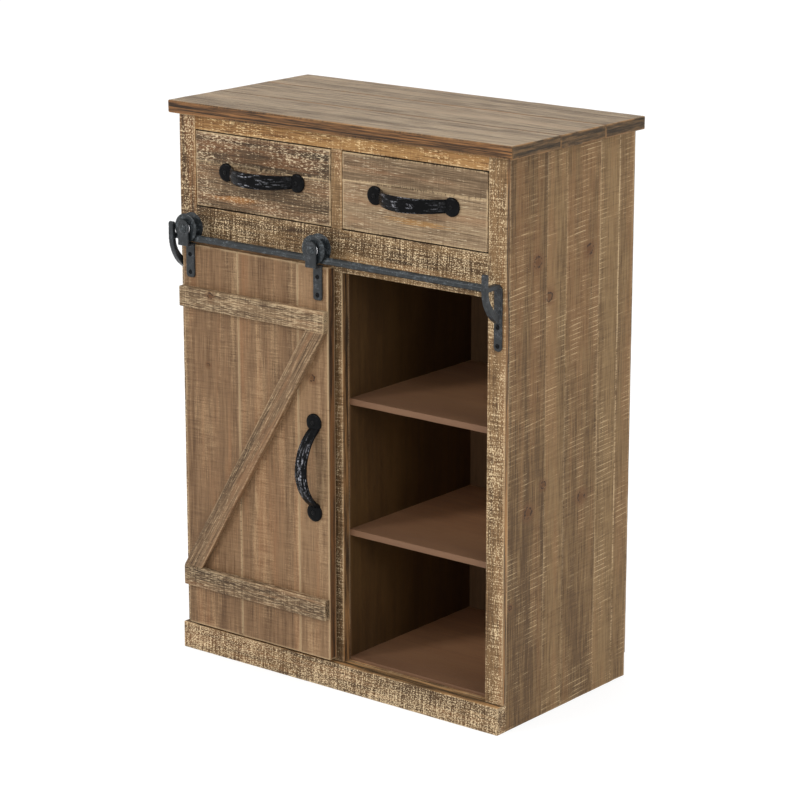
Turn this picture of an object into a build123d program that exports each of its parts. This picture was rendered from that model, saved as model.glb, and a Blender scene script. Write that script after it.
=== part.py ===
"""Rustic storage cabinet: two drawers, a sliding barn door and open shelves.

Millimetres, +Z up. The origin lies on the floor, in the middle of the cabinet's
outline. X runs from left to right along the front, and the front faces -Y.
"""
from itertools import accumulate
from math import cos, hypot, radians, sqrt, tan
import os

from build123d import *

os.makedirs("parts", exist_ok=True)

# Carcass: overall sizes
cabinet_height = 800.0
carcass_width = 568.0
carcass_depth = 292.0
side_thickness = 12.0
back_thickness = 3.0
back_inset = 1.0

# Top: boards glued edge to edge, running along the front
top_thickness = 18.0
top_side_overhang = 14.0
top_front_overhang = 8.0
top_edge_radius = 3.0
top_board_widths = (105.0, 102.0)

# Side panels: upright boards, counted from the front
side_board_widths = (81.0, 44.0, 76.0, 44.0)

# Face frame and plinth
frame_thickness = 15.0
stile_width = 29.0
centre_stile_width = 18.0
top_rail_height = 20.0
mid_rail_height = 59.0
side_lap = 6.0
plinth_height = 39.0
plinth_proud = 10.5

# Inside panels
floor_thickness = 10.0
floor_step = 4.0
deck_thickness = 9.0
shelf_thickness = 9.0
dado_depth = 4.0

# Drawers
drawer_opening_height = 108.0
drawer_gap = 1.5
drawer_front_thickness = 15.0
drawer_wall = 10.0
drawer_box_height = 85.0
drawer_bottom_thickness = 4.0
drawer_bottom_lift = 8.0
drawer_groove_depth = 3.0
drawer_rear_gap = 5.0
drawer_running_gap = 0.3
drawer_guide_height = 20.0
left_front_top_board = 42.0
right_front_top_board = 37.0

# Barn door
door_overlap = 9.0
door_gap = 4.0
door_bottom_gap = 6.0
door_top_gap = 5.0
door_plank_thickness = 15.0
left_plank_width = 102.0
right_plank_width = 54.0
batten_thickness = 10.0
batten_height = 29.0
batten_end_margin = 60.0
brace_width = 28.0

# Rail: a round rod between two forged brackets
rail_radius = 5.0
rail_standoff = 23.0
rail_above_mid_rail = 19.0
bracket_inset = 11.0
bracket_plate_width = 13.0
bracket_plate_thickness = 3.0
bracket_plate_above = 1.5
bracket_plate_length = 88.5
bracket_bar_width = 8.0
bracket_bar_height = 7.0
bracket_arm_reach = 27.5
bracket_arm_thickness = 6.3
bracket_arm_rise = 17.5
bracket_root_drop = 50.5
bracket_root_height = 14.0
bracket_screw_pitch = 25.0
bracket_screw_margin = 7.5

# Hangers and rollers
hanger_inset = 16.0
hanger_width = 15.0
hanger_thickness = 3.0
hanger_length = 47.0
hanger_screw_pitch = 25.0
hanger_screw_margin = 7.5
hanger_web_gap = 1.0
hanger_head_width = 19.0
hanger_head_rise = 12.0
hanger_bend_radius = 1.5
hanger_foot_radius = 4.0
roller_groove_radius = 9.0
roller_flange_radius = 20.5
roller_half_width = 7.7
roller_flank_angle = 10.0
roller_face_drop = 2.5
roller_hub_radius = 9.5
roller_hub_height = 1.9
roller_rail_gap = 0.3
roller_groove_play = 0.4
roller_side_gap = 0.6
axle_radius = 4.0
axle_running_gap = 0.05
axle_hole_gap = 0.1
axle_head_radius = 6.5
axle_head_height = 2.5
axle_head_bevel = 1.2

# Bow pulls, all alike
pull_pitch = 128.0
pull_projection = 33.0
pull_pad_radius = 13.0
pull_pad_thickness = 4.0
pull_neck_width = 17.0
pull_bow_width = 21.0
pull_bow_thickness = 6.0
pull_bow_foot = 7.0
pull_pad_bevel = 1.2
door_pull_inset = 25.0
door_pull_drop = 4.5

# Screws
screw_shank_radius = 1.6
screw_head_radius = 3.4
screw_head_height = 1.6
screw_crown_radius = 1.9
screw_bite = 8.0
screw_hole_gap = 0.1

# Woodwork details
arris = 1.0
joint_width = 1.6
joint_depth = 1.0

# Planes and levels that follow from the sizes above
front_reach = door_gap + door_plank_thickness + pull_projection
face_y = (front_reach - carcass_depth) / 2
frame_back_y = face_y + frame_thickness
side_front_y = frame_back_y - side_lap
back_y = face_y + carcass_depth
inner_back_y = back_y - back_thickness
half_width = carcass_width / 2
half_inner = half_width - side_thickness
half_centre = centre_stile_width / 2
bay_width = half_width - stile_width - half_centre
top_underside = cabinet_height - top_thickness
top_rail_underside = top_underside - top_rail_height
deck_top = top_rail_underside - drawer_opening_height
deck_underside = deck_top - deck_thickness
mid_rail_underside = deck_top - mid_rail_height
floor_top = plinth_height + floor_step
floor_underside = floor_top - floor_thickness
shelf_names = ("lower", "upper")
shelf_clear = (mid_rail_underside - floor_top - len(shelf_names) * shelf_thickness) / (len(shelf_names) + 1)
shelf_pitch = shelf_clear + shelf_thickness
shelf_undersides = [floor_top + shelf_clear + n * shelf_pitch for n in range(len(shelf_names))]
side_slots = [(z, shelf_thickness) for z in shelf_undersides]
housed_panels = side_slots + [(floor_underside, floor_thickness), (deck_underside, deck_thickness)]

door_left = -half_width + stile_width - door_overlap
door_right = -half_centre + door_overlap
door_back_y = face_y - door_gap
door_front_y = door_back_y - door_plank_thickness
batten_front_y = door_front_y - batten_thickness
rail_y = face_y - rail_standoff
rail_z = mid_rail_underside + rail_above_mid_rail
door_bottom = plinth_height + door_bottom_gap
door_top = rail_z - rail_radius - door_top_gap
axle_z = rail_z + rail_radius + roller_rail_gap + roller_groove_radius
hanger_centres = {"left": door_left + hanger_inset, "right": door_right - hanger_inset}
bracket_centres = {"left": -half_width + bracket_inset, "right": half_width - bracket_inset}


def keep(piece: BuildPart, name: str) -> None:
    """Label a finished piece and write it to its own file."""
    piece.part.label = name
    export_step(piece.part, f"parts/{name}.step")


def block(x: tuple, y: tuple, z: tuple, mode: Mode = Mode.ADD) -> None:
    """A board given by its (low, high) limits along each axis."""
    spans = (x, y, z)
    with Locations(tuple((low + high) / 2 for low, high in spans)):
        Box(*(high - low for low, high in spans), mode=mode)


def facing_front(x: float, y: float, z: float) -> Plane:
    """A plane on an upright face that looks out of the cabinet's front."""
    return Plane(origin=(x, y, z), x_dir=(1, 0, 0), z_dir=(0, -1, 0))


def section_of(seat: Plane) -> Plane:
    """The plane through a seat's middle, with the seat's normal as its local Y."""
    return Plane(origin=seat.origin, x_dir=seat.x_dir, z_dir=seat.y_dir * -1)


def joint_places(start: float, end: float, widths: tuple) -> list:
    """Where boards of the given widths, laid side by side from start, meet before end."""
    return [start + along for along in accumulate(widths) if start + along + joint_width < end]


def cut_joints(face: Plane, places: list, length: float) -> None:
    """Cut V joints into a face at places along its local X, each running along its local Y."""
    with BuildSketch(section_of(face)) as notches:
        for place in places:
            with BuildLine():
                Polyline((place - joint_width / 2, 0), (place + joint_width / 2, 0), (place, -joint_depth),
                         close=True)
            make_face()
    extrude(notches.sketch, amount=length, both=True, mode=Mode.SUBTRACT)


def screw_seats(face: Plane, places: list) -> list:
    """Planes at the given local places of a face, where screw heads bear."""
    return [Plane(face.from_local_coords(place), x_dir=face.x_dir, z_dir=face.z_dir) for place in places]


def round_head_screws(seats: list, held: float) -> BuildPart:
    """Round-head screws that hold a piece of the given thickness on the wood below it."""
    length = held + screw_bite
    with BuildPart() as screws:
        for seat in seats:
            with BuildSketch(section_of(seat)):
                with BuildLine():
                    Polyline((0, screw_head_height), (0, -length), (screw_shank_radius, -length),
                             (screw_shank_radius, 0), (screw_head_radius, 0),
                             (screw_crown_radius, screw_head_height), close=True)
                make_face()
            revolve(axis=Axis(seat.origin, seat.z_dir))
    return screws


def screw_holes(seats: list, depth: float) -> None:
    """Holes for screw shanks, drilled inwards from each seat into the piece at hand."""
    with Locations(*seats):
        Hole(screw_shank_radius + screw_hole_gap, depth)


# Carcass: top, sides and back

with BuildPart() as top_slab:
    slab_front_y = face_y - top_front_overhang
    slab_half = half_width + top_side_overhang
    block((-slab_half, slab_half), (slab_front_y, back_y), (top_underside, cabinet_height))
    fillet(top_slab.edges().filter_by(Axis.Z).group_by(Axis.Y)[0], radius=top_edge_radius)
    fillet(top_slab.faces().sort_by(Axis.Z)[-1].edges(), radius=top_edge_radius)
    chamfer(top_slab.faces().sort_by(Axis.Z)[0].edges(), length=arris)
    cut_joints(Plane(origin=(0, 0, cabinet_height), x_dir=(0, 1, 0), z_dir=(0, 0, 1)),
               joint_places(slab_front_y, back_y, top_board_widths), slab_half)
keep(top_slab, "top_slab")

with BuildPart() as right_side_panel:
    block((half_inner, half_width), (side_front_y, inner_back_y), (0, top_underside))
    cut_joints(Plane(origin=(half_width, 0, 0), x_dir=(0, 1, 0), z_dir=(1, 0, 0)),
               joint_places(side_front_y, inner_back_y, side_board_widths), top_underside)
    for slot_z, slot_height in housed_panels:
        block((half_inner, half_inner + dado_depth), (frame_back_y, inner_back_y),
              (slot_z, slot_z + slot_height), mode=Mode.SUBTRACT)
keep(right_side_panel, "right_side_panel")

with BuildPart() as left_side_panel:
    mirror(right_side_panel.part, about=Plane.YZ)
keep(left_side_panel, "left_side_panel")

with BuildPart() as back_panel:
    block((-half_width + back_inset, half_width - back_inset), (inner_back_y, back_y),
          (floor_underside, top_underside))
keep(back_panel, "back_panel")

# Face frame: stiles lap the side panels, rails sit between the stiles

bracket_plate_top = rail_z + bracket_plate_above
bracket_plate_bottom = bracket_plate_top - bracket_plate_length
lower_bracket_screw_z = bracket_plate_bottom + bracket_screw_margin
bracket_screw_seats = {
    side: screw_seats(facing_front(x, face_y - bracket_plate_thickness, lower_bracket_screw_z),
                      [(0, 0), (0, bracket_screw_pitch)])
    for side, x in bracket_centres.items()
}

for side, sign in (("left", -1), ("right", 1)):
    outer_x = sign * half_width
    inner_x = sign * (half_width - stile_width)
    rabbet_x = sign * half_inner
    with BuildPart() as stile:
        block(tuple(sorted((outer_x, inner_x))), (face_y, frame_back_y), (plinth_height, top_underside))
        block(tuple(sorted((outer_x, rabbet_x))), (side_front_y, frame_back_y),
              (plinth_height, top_underside), mode=Mode.SUBTRACT)
        chamfer(stile.faces().sort_by(Axis.Y)[0].edges().filter_by(Axis.Z), length=arris)
        screw_holes(bracket_screw_seats[side], bracket_plate_thickness + screw_bite)
    keep(stile, f"{side}_stile")

rail_span = (-half_width + stile_width, half_width - stile_width)
frame_span = (face_y, frame_back_y)

with BuildPart() as top_rail:
    block(rail_span, frame_span, (top_rail_underside, top_underside))
    chamfer(top_rail.faces().sort_by(Axis.Y)[0].edges().group_by(Axis.Z)[0], length=arris)
keep(top_rail, "top_rail")

with BuildPart() as mid_rail:
    block(rail_span, frame_span, (mid_rail_underside, deck_top))
    chamfer(mid_rail.faces().sort_by(Axis.Y)[0].edges().filter_by(Axis.X), length=arris)
keep(mid_rail, "mid_rail")

centre_stiles = {
    "drawer_stile": (deck_top, top_rail_underside),
    "bay_stile": (plinth_height, mid_rail_underside),
}
for name, stile_z in centre_stiles.items():
    with BuildPart() as centre_stile:
        block((-half_centre, half_centre), frame_span, stile_z)
        chamfer(centre_stile.faces().sort_by(Axis.Y)[0].edges().filter_by(Axis.Z), length=arris)
    keep(centre_stile, name)

with BuildPart() as plinth:
    block((-half_width, half_width), (face_y - plinth_proud, side_front_y), (0, plinth_height))
    chamfer(plinth.faces().sort_by(Axis.Y)[0].edges().group_by(Axis.Z)[-1], length=arris)
keep(plinth, "plinth")

# Inside: floor, drawer deck, divider, partition and shelves

inner_depth = (frame_back_y, inner_back_y)
housed_width = (-half_inner - dado_depth, half_inner + dado_depth)

with BuildPart() as floor_panel:
    block(housed_width, inner_depth, (floor_underside, floor_top))
keep(floor_panel, "floor_panel")

with BuildPart() as drawer_deck:
    block(housed_width, inner_depth, (deck_underside, deck_top))
keep(drawer_deck, "drawer_deck")

with BuildPart() as bay_divider:
    block((-half_centre, half_centre), inner_depth, (floor_top, deck_underside))
    for slot_z, slot_height in side_slots:
        for slot_x in ((-half_centre, -half_centre + dado_depth), (half_centre - dado_depth, half_centre)):
            block(slot_x, inner_depth, (slot_z, slot_z + slot_height), mode=Mode.SUBTRACT)
keep(bay_divider, "bay_divider")

with BuildPart() as drawer_partition:
    block((-half_centre, half_centre), inner_depth, (deck_top, top_underside))
keep(drawer_partition, "drawer_partition")

shelf_span = (half_centre - dado_depth, half_inner + dado_depth)
for level, shelf_z in zip(shelf_names, shelf_undersides):
    with BuildPart() as right_shelf:
        block(shelf_span, inner_depth, (shelf_z, shelf_z + shelf_thickness))
        chamfer(right_shelf.faces().sort_by(Axis.Y)[0].edges().group_by(Axis.Z)[-1], length=arris)
    keep(right_shelf, f"right_{level}_shelf")
    with BuildPart() as left_shelf:
        mirror(right_shelf.part, about=Plane.YZ)
    keep(left_shelf, f"left_{level}_shelf")

with BuildPart() as right_drawer_guide:
    block((half_width - stile_width, half_inner), inner_depth, (deck_top, deck_top + drawer_guide_height))
keep(right_drawer_guide, "right_drawer_guide")

with BuildPart() as left_drawer_guide:
    mirror(right_drawer_guide.part, about=Plane.YZ)
keep(left_drawer_guide, "left_drawer_guide")

# Bow pull: a cast bow that swells in the middle, between two round pads


def pull_screw_seats(seat: Plane) -> list:
    """Where the two screws of a pull bear on its pads."""
    return screw_seats(seat.offset(pull_pad_thickness), [(-pull_pitch / 2, 0), (pull_pitch / 2, 0)])


def bow_pull(seat: Plane) -> BuildPart:
    """A pull on a seat plane: its length along local X, standing out along the normal."""
    half_pitch = pull_pitch / 2
    half_neck = pull_neck_width / 2
    half_bow = pull_bow_width / 2
    outer_foot = half_pitch - pull_bow_foot
    inner_foot = outer_foot - pull_bow_thickness
    inner_rise = pull_projection - pull_bow_thickness
    rim = pull_pad_radius - pull_pad_bevel
    rim_height = pull_pad_thickness - pull_pad_bevel
    with BuildPart() as pull:
        # The bow's face outline, wider in the middle than at its necks
        with BuildSketch(seat):
            with BuildLine():
                ThreePointArc((-half_pitch, half_neck), (0, half_bow), (half_pitch, half_neck))
                Line((half_pitch, half_neck), (half_pitch, -half_neck))
                ThreePointArc((half_pitch, -half_neck), (0, -half_bow), (-half_pitch, -half_neck))
                Line((-half_pitch, -half_neck), (-half_pitch, half_neck))
            make_face()
        extrude(amount=pull_projection)
        # The bow's arch, seen from the side
        with BuildSketch(section_of(seat)):
            with BuildLine():
                ThreePointArc((-inner_foot, 0), (0, inner_rise), (inner_foot, 0))
                Polyline((inner_foot, 0), (outer_foot, 0), (outer_foot, rim_height))
                ThreePointArc((outer_foot, rim_height), (0, pull_projection), (-outer_foot, rim_height))
                Polyline((-outer_foot, rim_height), (-outer_foot, 0), (-inner_foot, 0))
            make_face()
        extrude(amount=pull_pad_radius, both=True, mode=Mode.INTERSECT)
        # A round pad with a bevelled rim under each end
        for screw_seat in pull_screw_seats(seat):
            with BuildSketch(section_of(screw_seat.offset(-pull_pad_thickness))):
                with BuildLine():
                    Polyline((0, pull_pad_thickness), (0, 0), (pull_pad_radius, 0),
                             (pull_pad_radius, rim_height), (rim, pull_pad_thickness), close=True)
                make_face()
            revolve(axis=Axis(screw_seat.origin, screw_seat.z_dir))
        screw_holes(pull_screw_seats(seat), pull_pad_thickness)
    return pull


# Drawers: a flush front and a box whose bottom is let into grooves all round


def make_drawer(side: str, opening_left: float, top_board: float) -> None:
    """Build and keep every piece of one drawer, closed in its opening."""
    left = opening_left + drawer_gap
    right = opening_left + bay_width - drawer_gap
    front_low = deck_top + drawer_gap
    front_high = top_rail_underside - drawer_gap
    front_back_y = face_y + drawer_front_thickness
    box_back_y = inner_back_y - drawer_rear_gap
    box_low = deck_top + drawer_running_gap
    box_high = box_low + drawer_box_height
    bottom_z = (box_low + drawer_bottom_lift, box_low + drawer_bottom_lift + drawer_bottom_thickness)
    bottom_x = (left + drawer_wall - drawer_groove_depth, right - drawer_wall + drawer_groove_depth)
    bottom_y = (front_back_y - drawer_groove_depth, box_back_y - drawer_wall + drawer_groove_depth)
    seat = facing_front((left + right) / 2, face_y, (front_low + front_high) / 2)
    pull_screws = pull_screw_seats(seat)

    with BuildPart() as drawer_front:
        block((left, right), (face_y, front_back_y), (front_low, front_high))
        chamfer(drawer_front.faces().sort_by(Axis.Y)[0].edges(), length=arris)
        front_face = Plane(origin=(0, face_y, front_high), x_dir=(0, 0, -1), z_dir=(0, -1, 0))
        cut_joints(front_face, [top_board], half_width)
        block(bottom_x, (front_back_y - drawer_groove_depth, front_back_y), bottom_z, mode=Mode.SUBTRACT)
        screw_holes(pull_screws, pull_pad_thickness + screw_bite)
    keep(drawer_front, f"{side}_drawer_front")

    walls = {"left": (left, left + drawer_wall), "right": (right - drawer_wall, right)}
    for wall, wall_x in walls.items():
        with BuildPart() as drawer_side:
            block(wall_x, (front_back_y, box_back_y), (box_low, box_high))
            block(bottom_x, bottom_y, bottom_z, mode=Mode.SUBTRACT)
        keep(drawer_side, f"{side}_drawer_{wall}_side")

    with BuildPart() as drawer_back:
        block((left + drawer_wall, right - drawer_wall), (box_back_y - drawer_wall, box_back_y),
              (box_low, box_high))
        block(bottom_x, bottom_y, bottom_z, mode=Mode.SUBTRACT)
    keep(drawer_back, f"{side}_drawer_back")

    with BuildPart() as drawer_bottom:
        block(bottom_x, bottom_y, bottom_z)
    keep(drawer_bottom, f"{side}_drawer_bottom")

    keep(bow_pull(seat), f"{side}_drawer_pull")
    keep(round_head_screws(pull_screws, pull_pad_thickness), f"{side}_drawer_pull_screws")


make_drawer("left", -half_width + stile_width, left_front_top_board)
make_drawer("right", half_centre, right_front_top_board)

# Barn door: three planks held by two battens and a brace

hanger_foot_z = door_top - hanger_length
hanger_screw_seats = {
    side: screw_seats(facing_front(x, door_front_y - hanger_thickness, hanger_foot_z + hanger_screw_margin),
                      [(0, 0), (0, hanger_screw_pitch)])
    for side, x in hanger_centres.items()
}
door_pull_z = (door_bottom + door_top) / 2 - door_pull_drop
door_pull_seat = Plane(origin=(door_right - door_pull_inset, door_front_y, door_pull_z),
                       x_dir=(0, 0, 1), z_dir=(0, -1, 0))
door_pull_screws = pull_screw_seats(door_pull_seat)
plank_edges = (door_left, door_left + left_plank_width, door_right - right_plank_width, door_right)
door_height = (door_bottom, door_top)

for name, low, high in zip(("left", "middle", "right"), plank_edges, plank_edges[1:]):
    with BuildPart() as plank:
        block((low, high), (door_front_y, door_back_y), door_height)
        chamfer(plank.faces().sort_by(Axis.Y)[0].edges(), length=arris)
        if name in hanger_screw_seats:
            screw_holes(hanger_screw_seats[name], hanger_thickness + screw_bite)
        if name == "right":
            screw_holes(door_pull_screws, pull_pad_thickness + screw_bite)
    keep(plank, f"door_{name}_plank")

lower_batten = (door_bottom + batten_end_margin, door_bottom + batten_end_margin + batten_height)
upper_batten = (door_top - batten_end_margin - batten_height, door_top - batten_end_margin)
for name, batten_z in (("lower", lower_batten), ("upper", upper_batten)):
    with BuildPart() as batten:
        block((door_left, door_right), (batten_front_y, door_front_y), batten_z)
        chamfer(batten.faces().sort_by(Axis.Y)[0].edges(), length=arris)
    keep(batten, f"door_{name}_batten")

# The brace's slanted cut, where it meets a batten, is wider than the brace itself.
brace_rise = upper_batten[0] - lower_batten[1]
brace_run = door_right - door_left
brace_reach = sqrt(hypot(brace_rise, brace_run)**2 - brace_width**2)
brace_slant = brace_rise * brace_reach - brace_width * brace_run
brace_cut = brace_width * brace_slant / (brace_rise**2 - brace_width**2)
with BuildPart() as door_brace:
    with BuildSketch(facing_front(0, door_front_y, 0)):
        with BuildLine():
            Polyline((door_left, lower_batten[1]), (door_left + brace_cut, lower_batten[1]),
                     (door_right, upper_batten[0]), (door_right - brace_cut, upper_batten[0]), close=True)
        make_face()
    extrude(amount=batten_thickness)
    chamfer(door_brace.faces().sort_by(Axis.Y)[0].edges().filter_by(Axis.X, reverse=True), length=arris)
keep(door_brace, "door_brace")

keep(bow_pull(door_pull_seat), "door_pull")
keep(round_head_screws(door_pull_screws, pull_pad_thickness), "door_pull_screws")

# Rail and its forged brackets

arm_back_y = face_y - bracket_arm_reach
arm_front_y = arm_back_y - bracket_arm_thickness
arm_root_y = face_y - bracket_plate_thickness
arm_root_z = rail_z - bracket_root_drop
arm_inner_root_z = arm_root_z + bracket_root_height
arm_tip_z = rail_z + bracket_arm_rise
arm_middle_y = (arm_front_y + arm_back_y) / 2
arm_crown_z = arm_tip_z + bracket_arm_thickness / 2

for side, bracket_x in bracket_centres.items():
    with BuildPart() as bracket:
        # The plate on the stile has round ends.
        with BuildSketch(facing_front(bracket_x, face_y, bracket_plate_top - bracket_plate_length / 2)):
            SlotOverall(bracket_plate_length, bracket_plate_width, rotation=90)
        extrude(amount=bracket_plate_thickness)
        # The arm rises from the plate in a sweep, stands upright from the rail's level and has a round tip.
        with BuildSketch(Plane.YZ.offset(bracket_x)):
            with BuildLine():
                TangentArc((arm_front_y, rail_z), (arm_root_y, arm_root_z), tangent=(0, -1))
                Line((arm_root_y, arm_root_z), (arm_root_y, arm_inner_root_z))
                TangentArc((arm_back_y, rail_z), (arm_root_y, arm_inner_root_z), tangent=(0, -1))
                Line((arm_back_y, rail_z), (arm_back_y, arm_tip_z))
                ThreePointArc((arm_front_y, arm_tip_z), (arm_middle_y, arm_crown_z), (arm_back_y, arm_tip_z))
                Line((arm_front_y, arm_tip_z), (arm_front_y, rail_z))
            make_face()
        extrude(amount=bracket_bar_width / 2, both=True)
        # A short bar carries the rail's end between plate and arm.
        with BuildSketch(facing_front(bracket_x, arm_root_y, rail_z)):
            Rectangle(bracket_bar_width, bracket_bar_height)
        extrude(amount=arm_root_y - arm_back_y)
        screw_holes(bracket_screw_seats[side], bracket_plate_thickness)
    keep(bracket, f"{side}_rail_bracket")

with BuildPart() as door_rail:
    rail_left = bracket_centres["left"] + bracket_bar_width / 2
    rail_right = bracket_centres["right"] - bracket_bar_width / 2
    with BuildSketch(Plane.YZ.offset(rail_left)):
        with Locations((rail_y, rail_z)):
            Circle(rail_radius)
    extrude(amount=rail_right - rail_left)
keep(door_rail, "door_rail")

all_bracket_seats = bracket_screw_seats["left"] + bracket_screw_seats["right"]
keep(round_head_screws(all_bracket_seats, bracket_plate_thickness), "bracket_screws")

# Hangers: a strap up the door's face, stepped forward to a wider head in front of the roller

hub_half = roller_half_width + roller_hub_height
strap_front_y = door_front_y - hanger_thickness
head_back_y = rail_y - hub_half - roller_side_gap
head_front_y = head_back_y - hanger_thickness
web_high = axle_z - roller_flange_radius - hanger_web_gap
web_low = web_high - hanger_thickness
head_top = axle_z + hanger_head_rise

for side, hanger_x in hanger_centres.items():
    with BuildPart() as hanger:
        with BuildSketch(Plane.YZ.offset(hanger_x)):
            with BuildLine():
                Polyline((door_front_y, hanger_foot_z), (door_front_y, web_high), (head_back_y, web_high),
                         (head_back_y, head_top), (head_front_y, head_top), (head_front_y, web_low),
                         (strap_front_y, web_low), (strap_front_y, hanger_foot_z), close=True)
            make_face()
        extrude(amount=hanger_head_width / 2, both=True)
        cross_edges = hanger.edges().filter_by(Axis.X).filter_by_position(Axis.Z, web_low, web_high)
        fillet(cross_edges, radius=hanger_bend_radius)
        # Seen from the front, the strap is narrower than the head.
        with BuildSketch(facing_front(hanger_x, head_front_y, web_low)):
            Rectangle(hanger_head_width, head_top - web_low, align=(Align.CENTER, Align.MIN))
            Rectangle(hanger_width, web_low - hanger_foot_z, align=(Align.CENTER, Align.MAX))
        extrude(amount=head_front_y - door_front_y, mode=Mode.INTERSECT)
        fillet(hanger.edges().filter_by(Axis.Y).group_by(Axis.Z)[0], radius=hanger_foot_radius)
        fillet(hanger.edges().filter_by(Axis.Y).group_by(Axis.Z)[-1], radius=hanger_head_width / 2 - arris)
        screw_holes(hanger_screw_seats[side], hanger_thickness)
        with Locations(facing_front(hanger_x, head_front_y, axle_z)):
            Hole(axle_radius + axle_hole_gap, hanger_thickness)
    keep(hanger, f"{side}_hanger")

all_hanger_seats = hanger_screw_seats["left"] + hanger_screw_seats["right"]
keep(round_head_screws(all_hanger_seats, hanger_thickness), "hanger_screws")

# Rollers: a hub proud of each face, and a groove whose flanks clear the rail, each on its own axle

rail_centre_radius = roller_groove_radius + roller_rail_gap + rail_radius
flank_slope = tan(radians(roller_flank_angle))
flank_offset = (rail_radius + roller_groove_play) / cos(radians(roller_flank_angle))
groove_half = flank_offset + (roller_groove_radius - rail_centre_radius) * flank_slope
crest_half = flank_offset + (roller_flange_radius - rail_centre_radius) * flank_slope
bore_radius = axle_radius + axle_running_gap
face_radius = roller_flange_radius - roller_face_drop
axle_grip = rail_y + hub_half + roller_side_gap - head_front_y
axle_crown_radius = axle_head_radius - axle_head_bevel

for side, roller_x in hanger_centres.items():
    # Local X runs along the axle from front to back, local Y is the radius.
    roller_section = Plane(origin=(roller_x, rail_y, axle_z), x_dir=(0, 1, 0), z_dir=(1, 0, 0))
    with BuildPart() as roller:
        with BuildSketch(roller_section):
            with BuildLine():
                half_section = Polyline((0, roller_groove_radius), (groove_half, roller_groove_radius),
                                        (crest_half, roller_flange_radius), (roller_half_width, face_radius),
                                        (roller_half_width, roller_hub_radius), (hub_half, roller_hub_radius),
                                        (hub_half, bore_radius), (0, bore_radius))
                mirror(half_section, about=Plane.YZ)
            make_face()
        revolve(axis=Axis((roller_x, rail_y, axle_z), (0, 1, 0)))
    keep(roller, f"{side}_roller")

    axle_section = Plane(origin=(roller_x, head_front_y, axle_z), x_dir=(0, 1, 0), z_dir=(1, 0, 0))
    with BuildPart() as axle:
        with BuildSketch(axle_section):
            with BuildLine():
                Polyline((-axle_head_height, 0), (-axle_head_height, axle_crown_radius),
                         (axle_head_bevel - axle_head_height, axle_head_radius), (0, axle_head_radius),
                         (0, axle_radius), (axle_grip, axle_radius), (axle_grip, axle_head_radius),
                         (axle_grip + axle_head_height, axle_head_radius),
                         (axle_grip + axle_head_height, 0), close=True)
            make_face()
        revolve(axis=Axis((roller_x, head_front_y, axle_z), (0, 1, 0)))
    keep(axle, f"{side}_roller_axle")
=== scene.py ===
"""Rustic storage cabinet, dressed for a render: sawn boards, forged iron and a plain studio.

Metres, in the frame of the solids: +Z up, X to the right along the front, the front faces -Y.
"""

import logging
import math
from collections.abc import Sequence
from dataclasses import dataclass, field, replace
from enum import Enum

import bmesh
import bpy
import numpy as np
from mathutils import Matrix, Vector, noise


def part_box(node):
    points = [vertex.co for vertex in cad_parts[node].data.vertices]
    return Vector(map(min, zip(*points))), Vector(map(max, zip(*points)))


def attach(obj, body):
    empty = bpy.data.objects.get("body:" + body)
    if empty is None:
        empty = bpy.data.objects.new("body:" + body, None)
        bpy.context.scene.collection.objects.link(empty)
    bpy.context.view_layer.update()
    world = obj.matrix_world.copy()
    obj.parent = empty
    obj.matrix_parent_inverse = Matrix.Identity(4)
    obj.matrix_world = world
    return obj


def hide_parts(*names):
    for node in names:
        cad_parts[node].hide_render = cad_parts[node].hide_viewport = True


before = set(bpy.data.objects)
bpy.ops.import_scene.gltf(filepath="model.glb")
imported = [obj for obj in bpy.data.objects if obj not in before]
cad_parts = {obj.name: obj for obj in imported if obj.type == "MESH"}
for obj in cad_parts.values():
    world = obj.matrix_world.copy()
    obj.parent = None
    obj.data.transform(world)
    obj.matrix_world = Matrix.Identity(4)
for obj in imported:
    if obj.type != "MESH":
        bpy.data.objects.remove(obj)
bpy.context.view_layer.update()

log = logging.getLogger("cabinet")

Tint = tuple[int, int, int]
Triple = tuple[float, float, float]
Material = bpy.types.Material
Piece = bpy.types.Object
Socket = bpy.types.NodeSocket
Value = Socket | float | Triple

ARRIS_STEPS = (0.0, 0.5, 1.0, 2.4, 5.0)  # where a board is divided near an edge, in radii of the arris
NEARLY_HALF = 0.45  # an easing takes no more than this share of a side
ON_FACE = 0.0004  # a point this near to a face of the plain box lies on it
RUBBED_WIDTH = 0.0016  # how far from an arris the rubbing reaches
JOINT_ARRIS = 0.0007  # the arris where boards lie side by side
TIGHT_REACH = 0.008  # how far from a tight side its arris stays small
MERGE_DISTANCE = 1e-6
UPRIGHT_SIDES = ("-x", "+x", "-y", "+y")
LAMP_TARGET = Vector((0.0, 0.0, 0.42))


class Axis(Enum):
    """A direction of the cabinet, by its index in a point."""

    X = 0
    Y = 1
    Z = 2


class Side(Enum):
    """Left or right, seen from the front."""

    LEFT = "left"
    RIGHT = "right"


class Slot(Enum):
    """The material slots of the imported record."""

    TOP = "weathered_top"
    FRAME = "frame_wood"
    SIDE_BOARDS = "side_board_wood"
    DRAWER_FACE = "drawer_face_wood"
    BARN_DOOR = "barn_door_wood"
    PANEL = "stained_panel"
    BLACK_IRON = "black_iron"
    WORN_IRON = "worn_iron"
    SCREWS = "dark_screws"


def linear(tint: Tint) -> tuple[float, float, float, float]:
    """A display colour from 0 to 255, as the linear and opaque colour that a shader takes."""
    shares = (part / 255 for part in tint)
    return (*(s / 12.92 if s <= 0.04045 else ((s + 0.055) / 1.055) ** 2.4 for s in shares), 1.0)


def shaded(tint: Tint, share: float) -> Tint:
    """A darker or lighter shade of a display colour."""
    return tuple(min(255, round(part * share)) for part in tint)


# Node trees


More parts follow.
